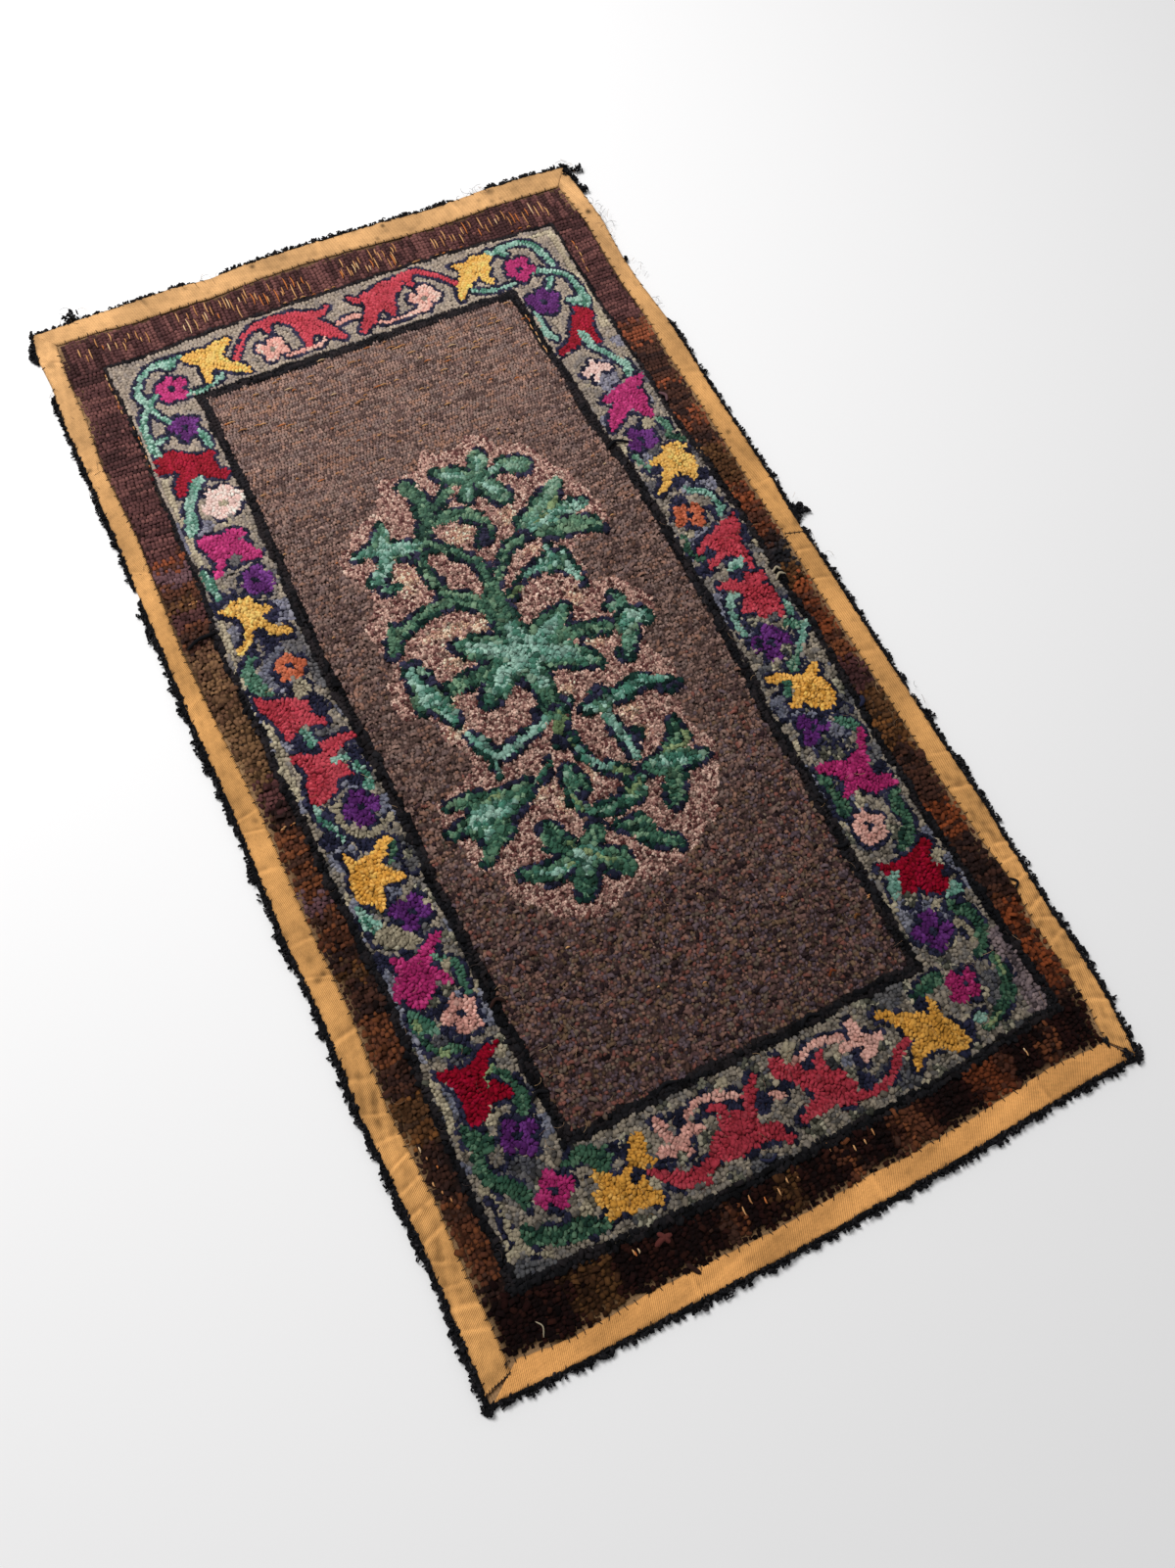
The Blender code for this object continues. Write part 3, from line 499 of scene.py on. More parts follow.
# Strokes of the medallion
MEDALLION_SHAPES = (
    ("dark_green", ((290, 849, 9), (297, 836, 9), (298, 816, 8), (294, 800, 9), (285, 787, 8),
                    (279, 778, 6))),
    ("dark_green", ((300, 811, 6), (316, 818, 6), (331, 828, 6))),
    ("dark_green", ((286, 790, 5), (300, 797, 6), (318, 798, 7), (335, 792, 7), (348, 779, 7),
                    (350, 765, 5))),
    ("navy", ((346, 771, 4), (342, 758, 6), (337, 753, 4))),
    ("dark_green", ((276, 776, 4), (292, 768, 5), (306, 752, 5), (318, 738, 6), (326, 727, 5))),
    ("navy", ((266, 768, 7), (273, 768, 6))),
    ("dark_green", ((270, 760, 4), (271, 745, 6), (272, 725, 6), (280, 708, 7), (295, 695, 9),
                    (310, 684, 9))),
    ("dark_green", ((320, 737, 5), (323, 715, 5), (322, 700, 7), (318, 685, 10))),
    ("dark_green", ((328, 702, 5), (345, 722, 5), (360, 736, 5), (380, 745, 4))),
    ("dark_green", ((222, 690, 6), (240, 697, 6), (262, 702, 6), (285, 703, 7), (300, 693, 9))),
    ("dark_green", ((212, 693, 7), (206, 680, 8), (200, 670, 6))),
    ("sage", ((334, 679, 3), (344, 685, 4), (351, 690, 4))),
    ("navy", ((352, 691, 4), (358, 693, 4))),
    ("dark_green", ((316, 684, 13), (319, 665, 14), (320, 648, 12))),
    # flower at the far end
    ("mid_green", ((358, 832, 8), (341, 844, 12), (328, 852, 6))),
    ("mid_green", ((366, 836, 7), (376, 848, 11), (378, 857, 9))),
    ("mid_green", ((372, 832, 5), (396, 833, 7), (412, 829, 12), (418, 826, 9))),
    ("mid_green", ((366, 826, 8), (376, 812, 12), (380, 799, 11))),
    ("mid_green", ((356, 828, 6), (347, 817, 9), (346, 811, 7))),
    ("teal", ((352, 838, 4), (337, 848, 6))),
    ("teal", ((371, 842, 3), (376, 852, 5))),
    ("teal", ((382, 835, 3), (394, 835, 4))),
    ("teal", ((368, 822, 4), (377, 808, 6))),
    ("teal", ((352, 820, 3), (347, 813, 5))),
    # tulips
    ("teal", ((272, 777, 6), (252, 780, 12), (238, 786, 12), (244, 800, 8), (246, 810, 5), (248, 818, 2))),
    ("teal", ((232, 787, 9), (218, 790, 6), (206, 788, 2))),
    ("teal", ((240, 776, 9), (228, 764, 7), (220, 754, 6), (214, 752, 4))),
    ("mid_green", ((222, 750, 4), (222, 740, 5), (236, 738, 4))),
    ("mid_green", ((244, 806, 6), (247, 817, 2))),
    ("mid_green", ((386, 757, 7), (405, 768, 9), (424, 778, 9), (438, 790, 7), (444, 797, 3))),
    ("dark_green", ((398, 741, 8), (420, 738, 11), (440, 735, 11), (455, 728, 7), (463, 718, 2))),
    ("teal", ((392, 750, 7), (415, 755, 9), (440, 757, 8), (457, 756, 6))),
    ("sage", ((398, 752, 2.5), (418, 762, 3), (436, 774, 2.5))),
    ("teal", ((360, 698, 4), (378, 702, 7), (392, 702, 9), (404, 704, 7), (411, 711, 2))),
    ("teal", ((392, 705, 7), (397, 723, 3))),
    ("teal", ((396, 699, 8), (404, 691, 7), (412, 678, 5), (414, 668, 2))),
    # star in the middle
    ("dark_green", ((240, 610, 8), (270, 612, 9), (300, 614, 10), (345, 617, 9), (380, 618, 8),
                    (410, 612, 8))),
    ("mid_green", ((318, 618, 17), (290, 636, 16), (268, 648, 9), (260, 654, 4))),
    ("mid_green", ((332, 618, 15), (360, 636, 13), (378, 645, 8), (382, 651, 4))),
    ("mid_green", ((316, 612, 16), (288, 598, 16), (270, 586, 10), (262, 580, 4))),
    ("mid_green", ((332, 610, 16), (362, 597, 14), (378, 586, 9), (386, 576, 4))),
    ("mid_green", ((322, 602, 14), (322, 582, 13), (325, 564, 10))),
    ("teal", ((324, 646, 10), (324, 628, 16), (324, 614, 18))),
    ("teal", ((312, 622, 12), (290, 634, 9), (272, 644, 4))),
    ("teal", ((336, 622, 12), (358, 634, 8), (370, 640, 3))),
    ("teal", ((314, 612, 10), (292, 600, 10), (276, 590, 5))),
    ("teal", ((336, 610, 12), (358, 600, 9), (372, 590, 4))),
    ("teal", ((322, 602, 8), (323, 584, 7), (327, 566, 6))),
    ("teal", ((208, 608, 14), (216, 610, 14), (208, 624, 8), (206, 640, 6), (210, 646, 4))),
    ("mid_green", ((216, 644, 4), (222, 632, 4))),
    ("teal", ((220, 600, 12), (226, 588, 8), (227, 576, 5))),
    ("navy", ((206, 650, 3), (218, 650, 4))),
    ("mid_green", ((426, 628, 6), (438, 632, 7), (433, 642, 4))),
    ("teal", ((430, 606, 11), (441, 610, 12), (454, 605, 7))),
    ("mid_green", ((432, 596, 8), (425, 582, 7), (418, 572, 4))),
    ("navy", ((412, 574, 4), (416, 582, 4))),
    # lower stems
    ("dark_green", ((322, 566, 9), (323, 556, 10), (320, 546, 10))),
    ("navy", ((308, 550, 6), (338, 548, 3))),
    ("teal", ((309, 541, 4), (292, 533, 5.5), (270, 528, 6), (252, 524, 6), (244, 516, 4), (243, 508, 3))),
    ("teal", ((246, 526, 5), (240, 542, 6), (233, 556, 3.5))),
    ("sage", ((325, 536, 7), (316, 525, 6))),
    ("teal", ((330, 544, 5), (337, 549, 4))),
    ("teal", ((350, 536, 4), (368, 532, 7), (390, 536, 7), (405, 540, 8), (420, 538, 6), (440, 531, 4))),
    ("navy", ((366, 542, 7), (372, 546, 5))),
    ("navy", ((436, 522, 5), (446, 524, 5))),
    ("teal", ((368, 528, 6), (368, 508, 6), (372, 490, 6), (374, 468, 5))),
    ("navy", ((384, 488, 5), (382, 492, 4))),
    ("navy", ((312, 512, 5), (326, 514, 4))),
    ("teal", ((323, 508, 4), (326, 495, 5), (334, 479, 5), (346, 466, 6), (358, 456, 5))),
    ("sage", ((322, 510, 3), (324, 503, 3.5))),
    ("sage", ((348, 464, 4), (358, 456, 4.5))),
    ("mid_green", ((270, 484, 3), (283, 490, 4), (294, 499, 3))),
    ("dark_green", ((262, 483, 8), (240, 477, 15), (218, 473, 18), (202, 466, 13), (188, 470, 7),
                    (174, 468, 4))),
    ("dark_green", ((222, 486, 9), (204, 492, 8), (184, 496, 4))),
    ("dark_green", ((222, 458, 13), (208, 444, 9), (194, 428, 4))),
    ("teal", ((242, 476, 5), (226, 472, 10), (208, 472, 10), (190, 468, 5))),
    ("teal", ((212, 462, 6), (204, 450, 4))),
    ("sage", ((238, 488, 3), (222, 486, 3))),
    ("mid_green", ((304, 482, 7), (302, 468, 9), (297, 452, 5), (303, 438, 6), (320, 432, 6), (340, 430, 7),
                   (356, 436, 9), (368, 446, 6))),
    ("dark_green", ((312, 470, 6), (312, 456, 5))),
    ("sage", ((296, 456, 3), (300, 440, 4))),
    ("sage", ((350, 438, 5), (362, 444, 5))),
    ("mid_green", ((378, 452, 7), (398, 450, 13), (420, 446, 10), (436, 440, 6))),
    ("dark_green", ((408, 460, 8), (420, 474, 6), (424, 487, 4))),
    ("dark_green", ((400, 438, 9), (394, 420, 8), (387, 408, 7))),
    ("teal", ((392, 452, 8), (414, 446, 7), (430, 441, 4))),
    ("sage", ((400, 462, 3), (426, 460, 4), (428, 480, 3))),
    # flower at the near end
    ("dark_green", ((274, 408, 8), (262, 422, 12), (262, 432, 10))),
    ("dark_green", ((270, 398, 9), (246, 394, 10), (230, 398, 9), (221, 404, 5))),
    ("dark_green", ((280, 386, 10), (271, 372, 11), (266, 361, 6))),
    ("dark_green", ((294, 388, 10), (308, 377, 13), (314, 370, 10))),
    ("dark_green", ((292, 406, 9), (303, 415, 9), (304, 420, 5))),
    ("teal", ((272, 400, 5), (284, 398, 12), (296, 394, 6))),
    ("teal", ((282, 398, 5), (262, 392, 5), (244, 394, 4), (232, 400, 3))),
    ("teal", ((284, 398, 5), (278, 384, 5), (272, 374, 3))),
    ("sage", ((272, 395, 3), (258, 391, 2.5))),
    ("sage", ((284, 398, 3), (298, 386, 3.5), (306, 378, 3))),
    ("sage", ((284, 398, 3), (276, 408, 3), (272, 416, 2))),
    ("dark_green", ((326, 408, 5), (344, 400, 11), (348, 388, 9), (358, 378, 7), (370, 372, 5),
                    (372, 365, 2))),
)

# Places where the medallion's ground is worn through to tan fibres: middle, and half its size
WORN = (
    (321, 772, 13, 9), (247, 744, 10, 13), (376, 772, 8, 10), (262, 650, 11, 8), (252, 636, 9, 7),
    (397, 655, 8, 8), (394, 600, 9, 7), (222, 566, 10, 6), (270, 475, 10, 8), (392, 516, 8, 7),
    (344, 562, 7, 6), (288, 452, 7, 9), (392, 490, 7, 7), (295, 662, 8, 10), (380, 725, 9, 4),
    (232, 600, 5, 8), (322, 470, 6, 6), (262, 672, 22, 5),
)

# Gaps between rows where the tan ground cloth shows: from, to, how many, the longest, and along the rug
GAPS = (
    ((34, 1142), (112, 1160), 14, 17, True), ((144, 1140), (300, 1160), 34, 22, True),
    ((336, 1140), (412, 1160), 22, 19, True), ((450, 1142), (600, 1158), 26, 20, True),
    ((255, 1131), (335, 1131), 6, 7, False), ((400, 1131), (492, 1131), 7, 7, False),
    ((540, 1130), (575, 1128), 3, 6, False), ((51, 1052), (51, 1118), 8, 7, True),
    ((55, 980), (56, 1036), 5, 7, True), ((508, 950), (508, 1015), 7, 8, True),
    ((604, 1042), (606, 1088), 5, 9, True), ((602, 760), (606, 772), 3, 6, True),
    ((30, 540), (48, 541), 4, 5, False), ((34, 805), (46, 806), 3, 4, False),
    ((30, 160), (40, 216), 6, 6, True), ((158, 50), (168, 56), 3, 10, True),
    ((258, 44), (328, 56), 6, 11, True), ((355, 40), (408, 58), 4, 10, True),
    ((560, 48), (566, 58), 2, 9, True), ((144, 968), (504, 1042), 60, 11, False),
    ((144, 890), (504, 968), 30, 8, False), ((140, 700), (190, 860), 5, 5, False),
    ((478, 700), (512, 900), 6, 5, False), ((505, 240), (512, 248), 2, 4, False),
    ((408, 872), (414, 880), 2, 4, False), ((214, 215), (460, 330), 6, 5, False),
)

# Loose strips and loops of wool: the wool, half its width, and points along it with the height over the pile
LOOSE = (
    ("beige", 0.6, ((62, 44, 0.8), (66, 38, 2.0), (63, 30, 0.8))),
    ("dark", 2.2, ((197, 28, 0.4), (201, 22, 1.0), (205, 16, 0.4))),
    ("oxblood", 2.8, ((180, 52, -0.8), (188, 55, 0.2), (197, 55, -0.8))),
    ("oxblood", 2.4, ((186, 61, -0.8), (190, 56, 0.6), (193, 49, -0.8))),
    ("mauve", 1.7, ((601, 838, 0.2), (603, 845, 1.4), (598, 852, 0.2))),
    ("beige", 1.4, ((600, 586, 0.2), (606, 591, 2.4), (613, 588, 0.2))),
    ("beige", 1.3, ((602, 596, 0.2), (607, 599, 2.0), (611, 595, 0.2))),
    ("black", 1.7, ((510, 806, 0.2), (522, 811, 2.6), (536, 805, 0.2))),
    ("black", 1.7, ((512, 514, 0.2), (519, 508, 2.4), (526, 512, 0.2))),
    ("black", 1.7, ((504, 303, 0.2), (512, 298, 2.4), (521, 301, 0.2))),
    ("black", 1.9, ((17, 756, 1.0), (30, 762, 2.2), (48, 764, 0.4))),
    ("navy", 2.4, ((606, 421, 0.2), (611, 425, 2.8), (612, 431, 0.2))),
    ("rust", 1.3, ((436, 192, 0.2), (440, 196, 2.2), (445, 194, 0.2))),
    ("amber", 1.3, ((486, 230, 0.2), (489, 233, 2.0), (493, 231, 0.2))),
    ("black", 1.3, ((644, 188, 0.4), (650, 194, 3.6), (646, 201, 0.4))),
    ("dark", 1.8, ((138, 300, 0.2), (146, 305, 2.6), (154, 300, 0.2))),
    ("black", 1.8, ((136, 208, 0.2), (144, 214, 2.6), (153, 210, 0.2))),
    ("black", 1.8, ((240, 166, 0.2), (250, 171, 2.8), (262, 168, 0.2))),
    ("black", 1.8, ((388, 162, 0.2), (398, 169, 2.8), (410, 165, 0.2))),
    ("navy", 1.6, ((296, 76, 0.2), (304, 71, 2.2), (312, 74, 0.2))),
)

# Wispy hairs: two corners of the area they lie in, how many, and their lowest height
HAIRS = (
    ((648, 1060), (658, 1166), 12, 2), ((646, 1186), (660, 1206), 8, 2), ((524, 1196), (548, 1204), 7, 2),
    ((658, 560), (670, 680), 10, 2), ((-4, 846), (8, 1120), 14, 2), ((182, 1194), (212, 1204), 8, 2),
    ((505, 1196), (546, 1208), 8, 2), ((656, 946), (664, 1150), 14, 2), ((30, 1190), (60, 1214), 6, 2),
    ((654, 380), (676, 420), 6, 2), ((600, 2), (660, 20), 6, 2), ((150, 165), (230, 330), 60, 9),
    ((400, 165), (515, 300), 70, 9), ((150, 300), (515, 330), 20, 9), ((30, 80), (645, 160), 60, 9),
    ((500, 330), (640, 700), 70, 9), ((20, 160), (150, 700), 50, 9),
)

# Dark places on the tape: middle, half its size, and how dark
STAINS = (
    (170, 1193, 3.5, 0.35), (250, 1194, 4.0, 0.6), (313, 1179, 3.0, 0.3), (397, 1178, 3.0, 0.35),
    (410, 1194, 3.5, 0.6), (530, 1187, 3.0, 0.3), (544, 1180, 4.0, 0.35), (555, 1180, 3.0, 0.3),
    (548, 1195, 7.0, 0.4), (643, 1122, 4.5, 0.7), (2, 1148, 6.0, 0.35), (-4, 1000, 4.0, 0.5),
    (8, 391, 5.0, 0.4), (14, 394, 4.0, 0.35), (645, 774, 4.0, 0.45), (655, 640, 6.0, 0.3),
    (640, 30, 4.0, 0.45), (653, 10, 7.0, 0.45), (10, 20, 7.0, 0.25), (22, 250, 5.0, 0.3),
    (652, 1042, 5.0, 0.4), (15, 168, 4.0, 0.3), (648, 150, 4.0, 0.3), (12, 560, 4.0, 0.3),
    (12, 700, 4.0, 0.25),
)

# Knots and tufts of dark yarn on the tape: middle, how wide they spread, and how many coils
TANGLES = (
    (645, 1188, 5.0, 12), (654, 10, 5.0, 10), (640, 28, 3.0, 5), (653, 1042, 3.0, 5), (668, 386, 3.0, 6),
    (42, 1204, 6.0, 14), (656, 1158, 5.0, 8), (669, 658, 6.0, 22), (674, 651, 6.0, 12),
    (663, 1190, 5.0, 14),
)

# Tufts of the edging that stick out: side, place along it, how far further out, and half the length
TUFTS = (
    ("left", 1170, 4.0, 12), ("left", 855, 2.5, 8), ("left", 700, 2.0, 14), ("left", 440, 2.5, 20),
    ("left", 240, 1.5, 14), ("left", 4, 1.5, 8), ("bottom", 195, 3.0, 22), ("bottom", 400, 2.0, 22),
    ("right", 1162, 9.0, 7), ("right", 1190, 4.0, 14), ("right", 700, 2.0, 14), ("right", 655, 15.0, 11),
    ("right", 386, 4.0, 8), ("right", 325, 3.0, 16), ("right", 262, 2.0, 10), ("right", 140, 3.0, 18),
    ("right", 68, 2.5, 16), ("right", 10, 2.0, 12), ("top", 42, 10.0, 10), ("top", 555, 5.0, 12),
)

# Seams of the tape: points along each, and how many stitches cross it
SEAMS = (
    (((1.5, 11.0), (10, 13.5), (19, 15.5), (27.5, 18.0)), 9),
    (((637.5, 633.2), (648, 630), (658.5, 627.2)), 5),
    (((658, 5.6), (650, 14), (640, 27)), 4),
)

# Stitches across the tape's inner and outer edges: the column of the edge, where they start, how far they
# slant, how far they reach, the end that stays, their heights on the tape, and the spaces between them
SEWING = (
    (2, 26.0, (-2.6, 2.6), (1.8, 3.4), 1.8, (0.15, 0.8, 0.7, -0.2), (7.0, 15.0)),
    (1, 20.0, (1.0, 3.5), (1.4, 3.6), -0.6, (-0.4, 0.45, 0.6, 0.1), (9.0, 34.0)),
)
SEWING_STOPS = {"left": 1168, "right": 1168, "bottom": 636, "top": 622}

# Across the tape from its outer to its inner edge: middle, half width and height of each dip and ridge
TAPE_PROFILE = ((0.0, 0.05, -0.7), (1.0, 0.05, -0.6), (0.12, 0.05, 0.35), (0.9, 0.05, 0.3))
# The tape's colour at its near end and, painted lighter as light, at its far end
TAPE_NEAR = (212, 156, 93)
TAPE_FAR = (218, 168, 113)
NEAR_RUN_TINT = (1.14, 1.08, 1.02)     # the near run is lighter and warmer than the others

# Shades and how common each is: the black yarn, the hairs, and the ground cloth where it glints through
YARN_SHADES = ((17, 17, 20), (25, 25, 28), (34, 33, 36), (48, 46, 48)), (0.35, 0.35, 0.22, 0.08)
HAIR_SHADES = ((180, 146, 108), (140, 112, 88), (78, 66, 62), (34, 32, 34)), (0.15, 0.2, 0.35, 0.3)
GLINT_SHADES = ((202, 152, 102), (182, 128, 82), (216, 182, 140), (190, 112, 60)), (0.4, 0.3, 0.12, 0.18)
CORE_SHADE = (17, 17, 19)
THREAD_SHADE = (44, 36, 33)
JUTE_SHADE = (150, 118, 84)

# The loops of each zone: the zone, the space between rows and along them, and the loop's length, width and
# depth, its seed, tone, and dust with painted sheen, how far it leans, how many are shaggy, how far it is
# lifted, its arch, and how much painted shade its matted tufts get
PILES = {
    "pile_border": ("border", 4.6, 4.2, (4.9, 4.5, 3.4, 51, 1.5, 1.0, 0.2, 0.12, 0.0, "middling", 1.0)),
    "pile_lines": ("lines", 4.4, 4.4, (5.0, 4.6, 3.4, 52, 1.0, 0.6, 0.25, 0.32, 0.9, "middling", 1.0)),
    "pile_band": ("band", 4.6, 4.5, (5.1, 4.8, 3.2, 53, 1.3, 1.0, 0.2, 0.06, 0.0, "middling", 1.0)),
    "pile_flowers": ("motifs", 4.7, 4.0, (4.8, 5.1, 3.6, 54, 1.1, 0.5, 0.08, 0.04, 1.0, "middling", 0.3)),
    "pile_field": ("field", 3.4, 3.6, (4.5, 3.7, 2.9, 55, 1.65, 1.0, 0.35, 0.14, 0.0, "small", 1.0)),
    "pile_medallion_ground": (
        "ground", 2.8, 2.8, (3.7, 3.0, 2.7, 56, 1.3, 1.0, 0.4, 0.04, 0.0, "small", 1.0)),
    "pile_medallion_leaves": (
        "leaves", 5.2, 4.0, (4.9, 6.2, 3.8, 57, 1.1, 0.7, 0.3, 0.12, 1.0, "large", 1.0)),
}
BORDER_STRAY = 5.0      # how far the blocks of the border run into each other along a row

# Strips of another wool along the outer edge of the flower band: on its left side or not, from, to, and wool
RIM_STRIPS = (
    (True, 560, 960, "beige"), (True, 215, 265, "beige"), (True, 280, 380, "blue_grey"),
    (False, 960, 1115, "beige"),
)

# The room, in metres
FLOOR_HALF = 9.0
FLOOR_DROP = 0.0002
FLOOR_COLOUR = (0.84, 0.84, 0.845, 1.0)
SKY_COLOUR = (0.985, 0.99, 1.0, 1.0)
SKY_STRENGTH = 0.36
WINDOW_SPOT = (-0.8, 1.55, 2.65)
WINDOW_SIZE = 1.5
WINDOW_POWER = 98
WINDOW_COLOUR = (1.0, 0.99, 0.98)
CAMERA_SPOT = (-0.30245, -0.54259, 1.19448)
CAMERA_TURN = (22.355, -3.794, -26.238)
CAMERA_LENS = 30.24
CAMERA_SENSOR = 36.0


def linear(colour):
    """A screen colour from 0 to 255 as scene values."""
    c = np.asarray(colour, float) / 255.0
    return np.where(c <= 0.04045, c / 12.92, ((c + 0.055) / 1.055) ** 2.4)


def row(x, y, z):
    """Points of the tables as points of the part, in metres."""
    return np.stack(np.broadcast_arrays((x - MID_X) * MM, (y - MID_Y) * MM, z * MM), axis=-1)


def beside(side, across, along, z):
    """Points given along and across one side, in metres."""
    return row(across, along, z) if side in LONG_SIDES else row(along, across, z)


def smooth(value, low, high):
    """0 below low, 1 above high, and an even change between them."""
    t = np.clip((value - low) / (high - low), 0.0, 1.0)
    return t * t * (3.0 - 2.0 * t)


def waves(x, y, size, seed, count=5, total_height=2.6):
    """A slow, uneven change over the rug, from about -1 to 1."""
    rng = np.random.default_rng(seed)
    total = 0.0
    for _ in range(count):
        turn = rng.uniform(0, math.tau)
        pace = rng.uniform(0.6, 1.7) * math.tau / size
        total = total + np.sin((x * math.cos(turn) + y * math.sin(turn)) * pace + rng.uniform(0, math.tau))
    return total / total_height


def edge(side, column, along):
    """The tape's outer (1) or inner (2) edge at places along one side."""
    table = list(zip(*SIDES[side]))
    return np.interp(along, table[0], table[column])


def inset(line, x, y):
    """How far inside a black line's middle a point lies, below 0 outside it."""
    left, right, bottom, top = (np.interp(along, *zip(*line[side])) for side, along in
                                (("left", y), ("right", y), ("bottom", x), ("top", x)))
    return np.minimum(np.minimum(x - left, right - x), np.minimum(y - bottom, top - y))


def within_tape(x, y, play):
    """Whether points lie inside the tape's inner edge."""
    sideways = np.minimum(x - edge("left", 2, y), edge("right", 2, y) - x)
    lengthways = np.minimum(y - edge("bottom", 2, x), edge("top", 2, x) - y)
    return np.minimum(sideways, lengthways) > play


def aged_and_lit(colours, y, tone, dust_and_sheen, span=1050.0, near=0.62, gain=0.5, grey=(0.05, 0.032, 0.03)):
    """Wool colours as they look now: painted shade deep in the near pile, dust and painted sheen on the worn
    far end.
    """
    share = np.clip(np.asarray(y) / span, 0, 1)[:, None]
    held = (colours.mean(axis=1, keepdims=True) / 0.1).clip(0.1, 1.0)
    # Dust and painted sheen at the far end; the gain paints shade on the near pile and light on the far end
    dusty_sheen = dust_and_sheen * smooth(share, 0.42, 1.0) * held * np.array(grey)
    return (colours * tone * (near + gain * share) + dusty_sheen).clip(0.001, 0.85)


def fullness(y):
    """How full the loops are, from 0 at the worn far end to 1 at the near end."""
    return 1.0 - smooth(y, PILE_FULL, PILE_FLAT)


# The design: which wool each cell of the grid is hooked with
AXIS_X = GRID_X + np.arange(CELLS_X) + 0.5
AXIS_Y = GRID_Y + np.arange(CELLS_Y) + 0.5
CELL_X, CELL_Y = np.meshgrid(AXIS_X, AXIS_Y, indexing="ij")
WARP_X = CELL_X + 1.1 * waves(CELL_X, CELL_Y, 46.0, 3)
WARP_Y = CELL_Y + 1.1 * waves(CELL_X, CELL_Y, 52.0, 4)
LEFT_HALF = CELL_X < MID_X
END_ROWS = (CELL_Y > FAR_END) | (CELL_Y < NEAR_END)


def bend(points, steps=6):
    """A smooth line through points."""
    p = np.asarray(points, float)
    if len(p) < 3:
        return p
    p = np.vstack([2 * p[0] - p[1], p, 2 * p[-1] - p[-2]])
    t = np.arange(steps)[:, None] / steps
    out = []
    for a, b, c, d in zip(p, p[1:], p[2:], p[3:]):
        out.append(0.5 * (2 * b + (c - a) * t + (2 * a - 5 * b + 4 * c - d) * t * t
                          + (3 * b - a - 3 * c + d) * t ** 3))
    return np.vstack(out + [p[-2:-1]])


def stroke(sheet, value, points, halves):
    """Draws a line whose half width changes along it."""
    p = np.asarray(points, float)
    r = np.broadcast_to(np.asarray(halves, float), len(p))
    margin = r.max() + 4
    low = np.floor(p.min(0) - margin - (GRID_X, GRID_Y)).astype(int).clip(0)
    high = np.ceil(p.max(0) + margin - (GRID_X, GRID_Y)).astype(int).clip(0)
    part = (slice(low[0], high[0]), slice(low[1], high[1]))
    x, y = WARP_X[part], WARP_Y[part]
    hit = np.zeros(x.shape, bool)
    for (ax, ay), (bx, by), ra, rb in zip(p, p[1:], r, r[1:]):
        dx, dy = bx - ax, by - ay
        t = np.clip(((x - ax) * dx + (y - ay) * dy) / max(dx * dx + dy * dy, 1e-6), 0, 1)
        hit |= np.hypot(x - ax - t * dx, y - ay - t * dy) < ra + (rb - ra) * t
    sheet[part][hit] = value


def blossom(sheet, wool, heart, middle, radius, turn, count):
    """Round petals about a small heart, none quite like the next."""
    rng = np.random.default_rng(int(middle[0] + middle[1]))
    core, petal, reach = 0.2 * radius, 0.44 * radius, 0.58 * radius
    for k in range(count):
        a = math.radians(turn + 360.0 / count * k + rng.uniform(-9, 9))
        out = reach * rng.uniform(0.9, 1.1)
        spot = (middle[0] + out * math.cos(a), middle[1] + out * math.sin(a))
        stroke(sheet, CODE[wool], (middle, spot), (core, petal * rng.uniform(0.88, 1.12)))
    stroke(sheet, CODE[heart], (middle, middle), core)


def inside_outline(points):
    """Which cells lie inside a closed outline."""
    hit = np.zeros(CELL_X.shape, bool)
    p = np.asarray(points, float)
    for (ax, ay), (bx, by) in zip(p, np.roll(p, -1, axis=0)):
        if ay == by:
            continue
        crosses = (ay > WARP_Y) != (by > WARP_Y)
        hit ^= crosses & (WARP_X < ax + (WARP_Y - ay) * (bx - ax) / (by - ay))
    return hit


def block_map():
    """The wool of the brown border at every cell."""
    sheet = np.zeros(CELL_X.shape, int)
    wobble = 3.5 * waves(CELL_X, CELL_Y, 24.0, 8)
    sides = {"left": LEFT_HALF, "right": ~LEFT_HALF, "bottom": CELL_Y < NEAR_END, "top": CELL_Y > FAR_END}
    for side, where in sides.items():
        along = CELL_Y if side in LONG_SIDES else CELL_X
        ends, wool = zip(*BLOCKS[side])
        codes = np.array([CODE[name] for name in wool])
        found = codes[np.searchsorted(ends, along + wobble).clip(0, len(ends) - 1)]
        sheet[where] = found[where]
    return sheet


def band_map():
    """The wool of the flower band's ground at every cell."""
    sheet = np.full(CELL_X.shape, CODE["grey"])
    patch = waves(CELL_X, CELL_Y, 80.0, 21)
    sheet[(patch > 0.5) & (CELL_Y > 175) & (CELL_Y < 950)] = CODE["blue_grey"]
    sheet[(patch < -0.7) & (CELL_Y < 900)] = CODE["slate"]
    sheet[(waves(CELL_X, CELL_Y, 44.0, 23) > 0.75) & (CELL_Y < 460)] = CODE["tweed"]
    sheet[(waves(CELL_X, CELL_Y, 40.0, 24) > 0.95) & (CELL_Y < 900)] = CODE["beige"]
    sheet[CELL_Y > 935 + 14 * patch] = CODE["taupe"]
    rim = (OUTER_IN > 4) & (OUTER_IN < 11 + 2.5 * patch)
    for left, start, end, wool in RIM_STRIPS:
        sheet[rim & (LEFT_HALF == left) & (CELL_Y > start) & (CELL_Y < end)] = CODE[wool]
    sheet[(CELL_X > 592) & (CELL_Y < 165)] = CODE["mauve_grey"]
    return sheet


